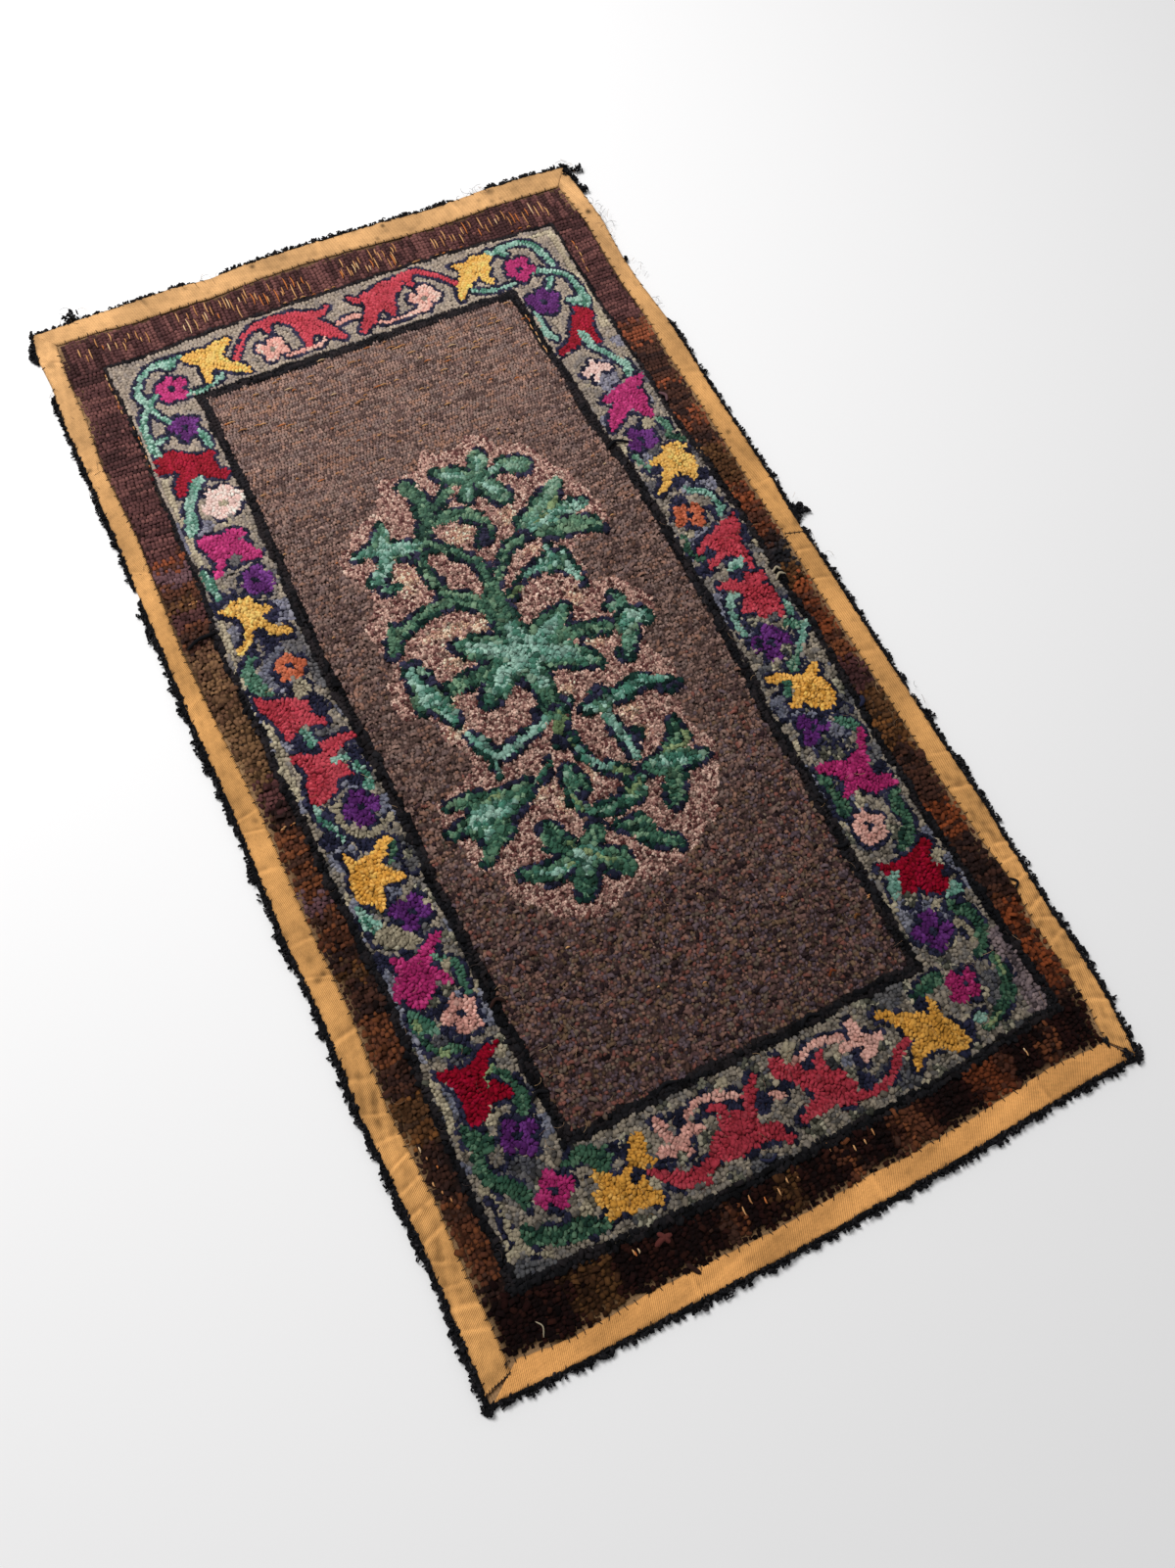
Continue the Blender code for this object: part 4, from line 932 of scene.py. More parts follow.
def motif_map(slimmer=1.3, thinnest=1.4):
    """The flower band's and medallion's motifs, -1 where there is only ground."""
    sheet = np.full(CELL_X.shape, -1)
    for shapes, less in ((BAND_SHAPES, 0.0), (MEDALLION_SHAPES, slimmer)):
        for wool, points in shapes:
            line = bend(points)
            stroke(sheet, CODE[wool], line[:, :2], np.maximum(line[:, 2] - less, thinnest))
    for petals in BLOSSOMS:
        blossom(sheet, *petals)
    for wool, x, y, half in KNOTS:
        stroke(sheet, CODE[wool], ((x - 1, y), (x + 1, y + 1)), half)
    return sheet


def worn_places():
    """Where the medallion's ground is worn through."""
    fray = 0.55 * waves(CELL_X, CELL_Y, 6.0, 36)
    hit = np.zeros(CELL_X.shape, bool)
    for x, y, wide, long in WORN:
        hit |= np.hypot((CELL_X - x) / wide, (CELL_Y - y) / long) + fray < 1.15
    return hit


def distance_to(cells, reach):
    """How many cells away the nearest marked cell is, up to reach."""
    near = np.where(cells, 0.0, reach + 1.0)
    for _ in range(reach):
        near[1:] = np.minimum(near[1:], near[:-1] + 1)
        near[:-1] = np.minimum(near[:-1], near[1:] + 1)
    square = near * near
    best = square.copy()
    for k in range(1, reach + 1):
        best[:, k:] = np.minimum(best[:, k:], square[:, :-k] + k * k)
        best[:, :-k] = np.minimum(best[:, :-k], square[:, k:] + k * k)
    return np.sqrt(best)


OUTER_IN = inset(OUTER_LINE, WARP_X, WARP_Y)
INNER_IN = inset(INNER_LINE, WARP_X, WARP_Y)
# Half the width of the outer line, which is broader in the near end's deep pile
OUTER_HALF = 4.6 - 1.0 * smooth(CELL_Y, 85, 130) - 1.3 * smooth(CELL_Y, 640, 960)
INNER_HALF = 5.4
ZONES = ("bare", "border", "lines", "band", "motifs", "field", "ground", "leaves")
ZONE = {name: k for k, name in enumerate(ZONES)}


def field_wool(wool, field):
    """Hooks the field: deeper wool at the near end and paler wool at the far end, with ragged limits."""
    wool[field] = CODE["heather"]
    deep = 400 + 50 * waves(CELL_X, CELL_Y, 150.0, 26) + 170 * waves(CELL_X, CELL_Y, 8.0, 27)
    wool[field & (CELL_Y < deep)] = CODE["deep_heather"]
    pale = 880 + 40 * waves(CELL_X, CELL_Y, 150.0, 28) + 150 * waves(CELL_X, CELL_Y, 8.0, 29)
    wool[field & (CELL_Y > pale)] = CODE["pale_heather"]


def draw_design(outline=4.2, row_in=4.4):
    """The wool and the zone of every cell."""
    wool = block_map()
    zone = np.full(wool.shape, ZONE["border"])
    band = OUTER_IN > 0
    wool[band] = band_map()[band]
    zone[band] = ZONE["band"]
    field = INNER_IN > 0
    field_wool(wool, field)
    zone[field] = ZONE["field"]
    around = bend(MEDALLION + MEDALLION[:1], 3)
    ground = inside_outline(around + 1.6 * RNG.normal(0, 1, around.shape))
    wool[ground] = CODE["beige_pink"]
    zone[ground] = ZONE["ground"]
    wool[ground & worn_places()] = CODE["jute"]
    motifs = motif_map()
    raised = np.where(field, ZONE["leaves"], ZONE["motifs"])
    shown = (motifs >= 0) & (OUTER_IN > 3)
    rim = (distance_to(shown, 8) < outline) & ~shown & (OUTER_IN > 5) & (np.abs(INNER_IN) > 6)
    # The outline of one loop is nearly whole at the far end and is hooked only here and there elsewhere
    kept = np.where(field, -0.45, -0.45 - 0.9 * smooth(CELL_Y, 880, 960) + 0.45 * (CELL_Y < 165))
    rim &= waves(CELL_X, CELL_Y, 34.0, 31) > kept
    wool[rim] = CODE["navy"]
    wool[rim & field & (waves(CELL_X, CELL_Y, 30.0, 32) > -0.1)] = CODE["deep_green"]
    zone[rim] = raised[rim]
    wool[shown] = motifs[shown]
    # Broad leaves are edged with a darker row
    inward = distance_to(~shown, 10)
    darker = shown & field & (inward < row_in) & (distance_to(inward > 7.5, 9) < 8.5)
    darker &= waves(CELL_X, CELL_Y, 26.0, 33) > -0.35
    wool[darker] = CODE["dark_green"]
    zone[shown] = raised[shown]
    inner = np.abs(INNER_IN) < INNER_HALF
    lines = inner | (~shown & (np.abs(OUTER_IN) < OUTER_HALF))
    wool[lines] = CODE["black"]
    zone[lines] = ZONE["lines"]
    zone[~within_tape(CELL_X, CELL_Y, 1.6)] = ZONE["bare"]
    return wool, zone


WOOL, ZONING = draw_design()


def cell(x, y):
    """The cell that points fall in."""
    i = np.floor(x - GRID_X).astype(int).clip(0, CELLS_X - 1)
    j = np.floor(y - GRID_Y).astype(int).clip(0, CELLS_Y - 1)
    return i, j


def disc(radius):
    """The cells of a disc, and how many cells it reaches each way."""
    r = int(math.ceil(radius))
    a = np.arange(-r, r + 1)
    return r, np.hypot(a[:, None], a[None, :]) <= radius


def follow(away, allowed, pitch, step, rim=8):
    """Places loops in rows that follow the edges of shapes, as a hooker fills them in."""
    gx, gy = np.gradient(away)
    size = np.hypot(gx, gy) + 1e-6
    gx, gy = gx / size, gy / size
    taken = ~allowed
    tight = ~allowed
    reach, mark = disc(0.8 * step)
    closer, small = disc(0.66 * step)
    found = []

    def on_grid(i, j):
        return rim < i < CELLS_X - rim - 1 and rim < j < CELLS_Y - rim - 1

    def place(x, y):
        i, j = int(x), int(y)
        found.append((x + GRID_X, y + GRID_Y, math.atan2(gx[i, j], -gy[i, j])))
        taken[i - reach:i + reach + 1, j - reach:j + reach + 1] |= mark
        tight[i - closer:i + closer + 1, j - closer:j + closer + 1] |= small

    def walk(x, y, level, way, first):
        heading = None
        while True:
            if not first:
                i, j = int(x), int(y)
                tx, ty = -gy[i, j] * way, gx[i, j] * way
                if heading is not None and tx * heading[0] + ty * heading[1] < 0:
                    tx, ty = -tx, -ty
                heading = (tx, ty)
                x, y = x + tx * step, y + ty * step
                i, j = int(x), int(y)
                if not on_grid(i, j):
                    return
                off = min(max(away[i, j] - level, -1.5), 1.5)
                x, y = x - gx[i, j] * off, y - gy[i, j] * off
            i, j = int(x), int(y)
            if taken[i, j] or abs(away[i, j] - level) > 1.6:
                return
            place(x, y)
            first = False

    for k in range(int(REACH / pitch)):
        level = (k + 0.5) * pitch
        for i, j in np.argwhere(allowed & (np.abs(away - level) < 0.7)):
            if not taken[i, j] and on_grid(i, j):
                walk(i + 0.5, j + 0.5, level, 1, True)
                walk(i + 0.5, j + 0.5, level, -1, False)
    for i, j in np.argwhere(~tight):
        if not tight[i, j] and on_grid(i, j):
            place(i + 0.5, j + 0.5)
    return np.array(found)


def straight(zone, pitch, step, upright, seed):
    """Places loops in straight rows, along the rug where upright is set."""
    rng = np.random.default_rng(seed)
    lengths = (CELLS_Y, CELLS_X) if upright else (CELLS_X, CELLS_Y)
    rows = np.arange(lengths[1] / pitch) * pitch
    stops = np.arange(lengths[0] / step) * step
    across, along = np.meshgrid(rows, stops, indexing="ij")
    full = fullness(along if upright else across)
    along = along + rng.uniform(0, step, len(rows))[:, None]
    along = along + rng.normal(0, 0.09 * step, along.shape) * (1 + full)
    across = across + rng.normal(0, 0.06 * pitch, across.shape) * (1 + 2.2 * full)
    across = across + (1.2 + 1.2 * full) * waves(along, across, 110.0, seed)
    x, y = (across, along) if upright else (along, across)
    x, y = x.ravel() + GRID_X, y.ravel() + GRID_Y
    i, j = cell(x, y)
    keep = zone[i, j] & (x > GRID_X) & (y > GRID_Y)
    angle = np.full(keep.sum(), math.pi / 2 if upright else 0.0)
    return np.stack([x[keep], y[keep], angle], axis=1)


def panel_top():
    """The height of the panel over the rug, read every few millimetres."""
    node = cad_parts["hooked_panel"]
    tree = BVHTree.FromPolygons([node.matrix_world @ v.co for v in node.data.vertices],
                                [tuple(f.vertices) for f in node.data.polygons])
    xs = np.arange(GRID_X, 684, TOP_STEP)
    ys = np.arange(GRID_Y, 1218, TOP_STEP)
    high = np.full((len(xs), len(ys)), MARGIN_TOP)
    for a, x in enumerate(xs):
        for b, y in enumerate(ys):
            start = Vector(((x - MID_X) * MM, (y - MID_Y) * MM, 0.1))
            spot = tree.ray_cast(start, Vector((0, 0, -1)))[0]
            if spot is not None:
                high[a, b] = spot.z / MM
    return xs, ys, high


TOP = panel_top()


def top_height(x, y):
    """The top of the pile at any place."""
    xs, ys, high = TOP
    u = np.clip((x - xs[0]) / TOP_STEP, 0, len(xs) - 1.001)
    v = np.clip((y - ys[0]) / TOP_STEP, 0, len(ys) - 1.001)
    i, j = u.astype(int), v.astype(int)
    u, v = u - i, v - j
    low = high[i, j] * (1 - u) + high[i + 1, j] * u
    far = high[i, j + 1] * (1 - u) + high[i + 1, j + 1] * u
    return np.maximum(low * (1 - v) + far * v, PILE_LOWEST)


# Shaders

def group(name, inputs, output):
    """An empty node group with named numbers to set and one number that it puts out."""
    tree = bpy.data.node_groups.new(name, "ShaderNodeTree")
    for label, value in inputs:
        made = tree.interface.new_socket(label, in_out="INPUT", socket_type="NodeSocketFloat")
        made.default_value = value
    tree.interface.new_socket(output, in_out="OUTPUT", socket_type="NodeSocketFloat")
    return tree, tree.nodes.new("NodeGroupInput"), tree.nodes.new("NodeGroupOutput")


def feed(tree, value, socket):
    """Sets a socket to a number, or links another socket to it."""
    if isinstance(value, (int, float)):
        socket.default_value = value
    else:
        tree.links.new(value, socket)


def math_node(tree, kind, a, b=0.0):
    """One step of arithmetic on values or sockets."""
    node = tree.nodes.new("ShaderNodeMath")
    node.operation = kind
    for socket, value in zip(node.inputs, (a, b)):
        feed(tree, value, socket)
    return node.outputs[0]


def noise_node(tree, vector, scale, detail):
    """Noise at a place."""
    node = tree.nodes.new("ShaderNodeTexNoise")
    node.inputs["Detail"].default_value = detail
    tree.links.new(vector, node.inputs["Vector"])
    feed(tree, scale, node.inputs["Scale"])
    return node.outputs["Fac"]


def fuzz_group():
    """Fibres and dust: how light the wool is at a place."""
    tree, given, out = group("wool_fibres", (("Fibre Scale", 1500.0), ("Wear Scale", 60.0), ("Depth", 0.25)),
                             "Shade")
    place = tree.nodes.new("ShaderNodeTexCoord").outputs["Object"]
    fine = noise_node(tree, place, given.outputs["Fibre Scale"], 3.0)
    worn = noise_node(tree, place, given.outputs["Wear Scale"], 2.0)
    fine, worn = math_node(tree, "MULTIPLY", fine, 0.7), math_node(tree, "MULTIPLY", worn, 0.3)
    both = math_node(tree, "ADD", fine, worn)
    swing = math_node(tree, "MULTIPLY", math_node(tree, "SUBTRACT", both, 0.5), given.outputs["Depth"])
    tree.links.new(math_node(tree, "ADD", math_node(tree, "MULTIPLY", swing, 4.0), 1.0), out.inputs[0])
    return tree


def weave_group(name, turn, finer):
    """Ribs of a weave as a height."""
    tree, given, out = group(name, (("Ribs per Metre", 800.0),), "Height")
    place = tree.nodes.new("ShaderNodeUVMap")
    place.uv_map = "cloth"
    spin = tree.nodes.new("ShaderNodeMapping")
    spin.inputs["Rotation"].default_value = (0, 0, math.radians(turn))
    tree.links.new(place.outputs[0], spin.inputs["Vector"])
    axes = tree.nodes.new("ShaderNodeSeparateXYZ")
    tree.links.new(spin.outputs[0], axes.inputs[0])
    pace = math_node(tree, "MULTIPLY", given.outputs[0], math.tau)
    ribs = math_node(tree, "SINE", math_node(tree, "MULTIPLY", axes.outputs[0], pace))
    closer = math_node(tree, "MULTIPLY", pace, finer)
    yarns = math_node(tree, "SINE", math_node(tree, "MULTIPLY", axes.outputs[1], closer))
    both = math_node(tree, "ADD", ribs, math_node(tree, "MULTIPLY", yarns, 0.5))
    tree.links.new(math_node(tree, "ADD", math_node(tree, "MULTIPLY", both, 0.33), 0.5), out.inputs[0])
    return tree


FUZZ = fuzz_group()
TWILL = weave_group("twill_ribs", 38.0, 1.6)
PLAIN = weave_group("plain_weave", 0.0, 1.0)


def use_group(tree, made, **values):
    """A node group placed in a material with its own values."""
    node = tree.nodes.new("ShaderNodeGroup")
    node.node_tree = made
    for label, value in values.items():
        node.inputs[label.replace("_", " ")].default_value = value
    return node.outputs[0]


def start_material(name, roughness, sheen):
    """A matte material, still without its colour."""
    material = bpy.data.materials.new(name)
    material.use_nodes = True
    tree = material.node_tree
    shader = tree.nodes["Principled BSDF"]
    values = {"Roughness": roughness, "Specular IOR Level": 0.06, "Sheen Weight": sheen,
              "Sheen Roughness": 0.5}
    for label, value in values.items():
        shader.inputs[label].default_value = value
    return material, tree, shader


def fibre_material(name, roughness, sheen, fibres, wear, depth):
    """A matte material of fibres in the piece's own colours."""
    material, tree, shader = start_material(name, roughness, sheen)
    shade = use_group(tree, FUZZ, Fibre_Scale=fibres, Wear_Scale=wear, Depth=depth)
    tree.links.new(shaded_tint(tree, shade), shader.inputs["Base Color"])
    return material, tree, shader


def bump(tree, shader, height, strength, distance):
    """Low relief from a height."""
    node = tree.nodes.new("ShaderNodeBump")
    node.inputs["Strength"].default_value = strength
    node.inputs["Distance"].default_value = distance
    tree.links.new(height, node.inputs["Height"])
    tree.links.new(node.outputs[0], shader.inputs["Normal"])


def shaded_tint(tree, shade):
    """The piece's own colours, lightened and darkened by a shade."""
    tint = tree.nodes.new("ShaderNodeAttribute")
    tint.attribute_name = "tint"
    mix = tree.nodes.new("ShaderNodeVectorMath")
    mix.operation = "MULTIPLY"
    tree.links.new(tint.outputs["Color"], mix.inputs[0])
    spread = tree.nodes.new("ShaderNodeCombineXYZ")
    for socket in spread.inputs:
        tree.links.new(shade, socket)
    tree.links.new(spread.outputs[0], mix.inputs[1])
    return mix.outputs[0]


def napped_material(name, roughness, fibres, wear, depth, nap, detail, strength):
    """Wool or yarn: fibres with a nap."""
    material, tree, shader = fibre_material(name, roughness, 0.02, fibres, wear, depth)
    place = tree.nodes.new("ShaderNodeTexCoord").outputs["Object"]
    bump(tree, shader, noise_node(tree, place, nap, detail), strength, 0.0008)
    return material


def tape_material():
    """Cotton twill, with painted shade between its ribs."""
    material, tree, shader = start_material("twill_tape", 0.88, 0.04)
    shade = use_group(tree, FUZZ, Fibre_Scale=900.0, Wear_Scale=22.0, Depth=0.2)
    ribs = use_group(tree, TWILL, Ribs_per_Metre=640.0)
    painted_rib_shade = math_node(tree, "ADD", math_node(tree, "MULTIPLY", ribs, 0.34), 0.83)
    tree.links.new(shaded_tint(tree, math_node(tree, "MULTIPLY", shade, painted_rib_shade)), shader.inputs["Base Color"])
    bump(tree, shader, ribs, 0.9, 0.0007)
    return material


def backing_material():
    """The plain weave of the ground cloth."""
    material, tree, shader = fibre_material("ground_cloth", 0.95, 0.05, 700.0, 30.0, 0.3)
    bump(tree, shader, use_group(tree, PLAIN, Ribs_per_Metre=420.0), 0.6, 0.0006)
    return material


WOOL_LOOK = napped_material("hooked_wool", 0.95, 1300.0, 45.0, 0.3, 1700.0, 4.0, 0.6)
TAPE_LOOK = tape_material()
YARN_LOOK = napped_material("black_yarn", 0.96, 1500.0, 80.0, 0.35, 2200.0, 3.0, 0.7)
BACK_LOOK = backing_material()


# Meshes

# The corner and the size of the square that the rug lies in, flat, for its baked colours
BAKE_CORNER = (0.36, 0.63)
BAKE_SIZE = 1.26


def joined(name, points, faces, colours, look, uv=None):
    """One object from arrays of points, four-sided faces and colours for each point."""
    points = np.asarray(points, float).reshape(-1, 3)
    faces = np.asarray(faces, int).reshape(-1, 4)
    mesh = bpy.data.meshes.new(name)
    mesh.vertices.add(len(points))
    mesh.vertices.foreach_set("co", points.ravel())
    mesh.loops.add(faces.size)
    mesh.loops.foreach_set("vertex_index", faces.ravel())
    mesh.polygons.add(len(faces))
    mesh.polygons.foreach_set("loop_start", np.arange(len(faces)) * 4)
    mesh.polygons.foreach_set("use_smooth", np.ones(len(faces), bool))
    mesh.update(calc_edges=True)
    mesh.validate()
    tint = mesh.color_attributes.new("tint", "FLOAT_COLOR", "POINT")
    rgba = np.ones((len(points), 4))
    rgba[:, :3] = np.broadcast_to(colours, (len(points), 3))
    tint.data.foreach_set("color", rgba.ravel())
    order = np.empty(len(mesh.loops), int)
    mesh.loops.foreach_get("vertex_index", order)
    flat = (points[:, :2] + BAKE_CORNER) / BAKE_SIZE
    for label, places in (("OFBake", flat), ("cloth", flat if uv is None else uv)):
        layer = mesh.uv_layers.new(name=label)
        layer.data.foreach_set("uv", places[order].ravel())
    mesh.materials.append(look)
    made = bpy.data.objects.new(name, mesh)
    bpy.context.collection.objects.link(made)
    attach(made, "root")
    return made


def grid_faces(count, around, closed):
    """Faces of a strip of rings with the same number of points."""
    k, i = np.meshgrid(np.arange(count - 1), np.arange(around if closed else around - 1), indexing="ij")
    a = k * around + i
    b = k * around + (i + 1) % around
    return np.stack([a, b, b + around, a + around], axis=-1).reshape(-1, 4)


def repeated(faces, each, count):
    """The same faces for many copies that have each as many points."""
    return (faces[None] + (np.arange(count) * each)[:, None, None]).reshape(-1, 4)


def strip_colours(codes, rng):
    """A colour for each loop: loops from one strip of wool are alike."""
    out = np.empty((len(codes), 3))
    for code in np.unique(codes):
        shades, change = YARNS[NAMES[code]]
        mine = np.flatnonzero(codes == code)
        new = rng.random(len(mine)) < change
        new[:1] = True
        runs = np.cumsum(new) - 1
        pick = rng.integers(0, len(shades), runs[-1] + 1)
        light = rng.normal(1.0, 0.08, runs[-1] + 1)
        colour = linear(np.array(shades))[pick] * light[:, None]
        out[mine] = colour[runs] * rng.normal(1.0, 0.07, (len(mine), 1))
    return out.clip(0.002, 1.0)


# Points along a loop and how far each drops, for large, middling and small loops
ARCHES = {
    "large": (np.array((-0.5, -0.36, 0.0, 0.36, 0.5)), np.array((1.0, 0.22, 0.0, 0.22, 1.0))),
    "middling": (np.array((-0.5, -0.27, 0.27, 0.5)), np.array((1.0, 0.06, 0.06, 1.0))),
    "small": (np.array((-0.5, 0.0, 0.5)), np.array((1.0, 0.0, 1.0))),
}
LOOP_ACROSS = np.array((-0.5, 0.0, 0.5))


def of_each(values):
    """One value for each loop, for all of its points."""
    return values[:, None, None]


def tufts(x, y, full, tuft_shading, seed):
    """Painted shade and light: loops are darker where the pile is matted into tufts, and lighter around
    there.
    """
    matted = waves(x, y, 21.0, seed + 40) + 0.6 * waves(x, y, 8.0, seed + 50)
    return 1.0 + tuft_shading * full * (0.14 - 0.75 * smooth(matted, 0.0, 1.6))


def loops(name, places, codes, length, width, depth, seed, tone, dust_and_sheen, lean, shag, lift, arch, tuft_shading):
    """Pulled loops of wool, each a small arch that stands on the ground cloth."""
    rng = np.random.default_rng(seed)
    px, py, turn = places.T
    n = len(places)
    along, drop = ARCHES[arch]
    full = fullness(py)
    turn = turn + rng.normal(0, lean * (0.4 + 0.9 * full))
    size = rng.normal(1.0, 0.08 + 0.06 * full).clip(0.7, 1.4)
    # Shaggy loops are pulled longer and lie across the others
    shaggy = rng.random(n) < shag * full
    size = np.where(shaggy, 1.75 * size, size)
    turn = np.where(shaggy, turn + rng.uniform(-1.3, 1.3, n), turn)
    u = along[None, :, None] * of_each(length * size)
    v = LOOP_ACROSS[None, None, :] * of_each(width * rng.normal(1.0, 0.1, n).clip(0.75, 1.3))
    u, v = np.broadcast_arrays(u, v)
    rise = rng.normal(0, 0.22 + 0.5 * full) + 0.9 * shaggy
    rise = rise + (0.1 + 0.6 * full) * waves(px, py, 12.0, seed) + lift * full
    round_off = (1.15 * np.abs(LOOP_ACROSS * 2) ** 2)[None, None, :]
    z = -(depth + lift) * drop[None, :, None] - round_off + np.zeros_like(u)
    z = z + u * of_each(rng.normal(0, 0.06 + 0.14 * full))
    z = z + v * of_each(rng.normal(0, 0.06 + 0.18 * full))
    x = of_each(px) + u * of_each(np.cos(turn)) - v * of_each(np.sin(turn))
    y = of_each(py) + u * of_each(np.sin(turn)) + v * of_each(np.cos(turn))
    z = np.maximum(z + of_each(top_height(px, py) + rise - 0.1), 0.8)
    # Painted shade: loops are darker at their feet and sides, where their neighbours shade them
    shade = (1.0 - 0.42 * drop)[:, None] * (1.0 - 0.34 * np.abs(LOOP_ACROSS * 2))[None, :]
    # Painted light and shade in the wool's colour: the far end's sheen, the near pile's shade, and the tufts'
    # shade
    wool = aged_and_lit(strip_colours(codes, rng), py, tone, dust_and_sheen) * tufts(px, py, full, tuft_shading, seed)[:, None]
    colour = wool[:, None, None, :] * shade[None, :, :, None]
    across = len(LOOP_ACROSS)
    faces = repeated(grid_faces(len(along), across, False), len(along) * across, n)
    made = joined(name, row(x, y, z), faces, colour.reshape(-1, 3), WOOL_LOOK)
    return made


def wools(places, stray, seed):
    """The wool at each loop, taken a little to the side of its row where rows run out raggedly."""
    off = np.random.default_rng(seed).normal(0, 1, len(places)) * stray
    i, j = cell(places[:, 0] - np.sin(places[:, 2]) * off, places[:, 1] + np.cos(places[:, 2]) * off)
    return WOOL[i, j]


def wool_edges():
    """The cells where the wool or the zone changes."""
    both = WOOL * 10 + ZONING
    edges = np.zeros(WOOL.shape, bool)
    edges[1:] |= np.diff(both, axis=0) != 0
    edges[:, 1:] |= np.diff(both, axis=1) != 0
    return edges


def rows_of(zone, pitch, step, away):
    """Where the loops of a zone go: straight rows in the border and the field, curved ones elsewhere."""
    here = ZONING == ZONE[zone]
    if zone == "border":
        return np.vstack([straight(here & ~END_ROWS, pitch, step, False, 41),
                          straight(here & END_ROWS, pitch, step, True, 42)])
    if zone == "field":
        return straight(here, pitch, step, False, 43)
    return follow(away, here, pitch, step)


def hook_pile():
    """All the loops, zone by zone."""
    away = distance_to(wool_edges(), REACH)
    made = []
    for name, (zone, pitch, step, shape) in PILES.items():
        spots = rows_of(zone, pitch, step, away)
        stray = BORDER_STRAY if zone == "border" else 0.0
        made.append(loops(name, spots, wools(spots, stray, 61), *shape))
    # The medallion's strips were torn and laid flat, so their folds are crisp
    leaves = made[-1].data.polygons
    leaves.foreach_set("use_smooth", np.zeros(len(leaves), bool))
    return made


def between(first, second, share, along):
    """Places between the tape's outer edges on two sides that face each other."""
    start, end = edge(first, 1, along), edge(second, 1, along)
    return start + share * (end - start)


def ground_cloth(columns=60, rows=110):
    """The ground cloth with the feet of the loops in it: the slab that the pile stands on."""
    u, v = np.meshgrid(np.arange(0, 1.0001, 1 / columns), np.arange(0, 1.0001, 1 / rows), indexing="ij")
    x = between("left", "right", u, -2.0 + v * 1200.0)
    y = between("bottom", "top", v, x)
    x = between("left", "right", u, y)
    inner = within_tape(x, y, 1.5)
    z = np.where(inner, top_height(x, y) - GROUND_DROP, MARGIN_TOP - 0.1)
    shades = np.array([linear(np.array(YARNS[name][0])).mean(axis=0) for name in NAMES])
    wool = shades[WOOL[cell(x, y)]]
    jute = linear(JUTE_SHADE)
    # Painted shade: under the pile the cloth takes its wool's colour, darkened to the shade that falls
    # between the loops
    colour = wool * 0.4
    colour[~inner] = jute
    under = wool * 0.8 * RNG.normal(1, 0.1, (*x.shape, 1))
    under[~inner] = jute * 0.9
    count = x.size
    faces = grid_faces(*x.shape, False)
    index = np.arange(count).reshape(x.shape)
    walls = [np.stack([line[:-1], line[1:], line[1:] + count, line[:-1] + count], axis=1)
             for line in (index[0], index[:, -1], index[-1][::-1], index[::-1, 0])]
    every = np.vstack([faces, faces[:, ::-1] + count, *walls])
    points = np.vstack([row(x, y, z).reshape(-1, 3), row(x, y, np.zeros_like(x)).reshape(-1, 3)])
    tints = np.vstack([colour.reshape(-1, 3), under.reshape(-1, 3)])
    cloth = joined("ground_cloth", points, every, tints, BACK_LOOK, points[:, :2])
    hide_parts("hooked_panel")
    return cloth


def ridge(place, middle, half):
    """A ridge that is 1 high at its middle."""
    return np.exp(-(((place - middle) / half) ** 2))


def tape_lift(side, along, across):
    """Creases in the tape: across runs from 0 at the outer edge to 1 at the inner one."""
    lift = np.zeros(np.broadcast(along, across).shape)
    rng = np.random.default_rng(61 + len(side))
    for place, height in CREASES[side]:
        slant = rng.uniform(-10, 10)
        half = rng.uniform(1.7, 3.4)
        off = (along - place - slant * (across - 0.5)) / half
        fade = 0.6 + 0.4 * np.cos((across - rng.uniform(0.2, 0.8)) * 3.4)
        lift = lift + 1.45 * height * fade * (np.exp(-off * off) - 0.4 * np.exp(-(off - 1.6) ** 2))
    lift = lift + 0.22 * waves(along, across * 24, 26.0, 71 + len(side))
    near = (side in LONG_SIDES) * (1 - smooth(along, 200, 460))
    return lift + 0.4 * near * waves(along, across * 24, 15.0, 73 + len(side))


def stain_shade(x, y):
    """How far the tape is darkened at a place."""
    shade = np.ones(np.shape(x))
    for sx, sy, half, dark in STAINS:
        far = ((x - sx) ** 2 + (y - sy) ** 2) / (0.8 * half) ** 2
        shade = shade * (1.0 - min(0.9, 1.3 * dark) * np.exp(-(far ** 1.6)))
    return shade


def tape_faces(count, around, flip):
    """The faces of a closed strip with its two ends."""
    half = around // 2
    k = np.arange(half - 1)
    caps = [base + np.stack([k, k + 1, around - 2 - k, around - 1 - k], axis=1)
            for base in (0, (count - 1) * around)]
    caps[0] = caps[0][:, ::-1]
    faces = np.vstack([grid_faces(count, around, True)] + caps)
    return faces[:, ::-1] if flip else faces


def tape_tone(along, s, lift):
    """How light the tape is: painted highlights and shade at its creases and edges, grime, and soiled edges.
    """
    # Painted highlight on the crests of the creases and painted shade in their dips, over an uneven tone
    tone = 1.0 + 0.13 * waves(along, s * 40, 120.0, 95) + 0.16 * np.clip(lift, 0.0, 0.8)
    tone = tone + 0.55 * np.clip(lift, -0.6, 0.0)
    tone = tone + 0.07 * waves(along, s * 60, 9.0, 96)
    # Painted shade in the dips along both edges of the tape
    rim = ridge(s, 0, 0.07) * 0.32 + ridge(s, 1, 0.07) * 0.28
    dirt = np.maximum(0, waves(along, s * 30, 26.0, 97) - 0.7) * 0.28
    edge_dirt = 0.5 * np.maximum(0, waves(along, 0 * s, 11.0, 98) - 0.55) * ridge(s, 0, 0.14)
    return tone * (1.0 - rim) * (1.0 - dirt) * (1.0 - edge_dirt)


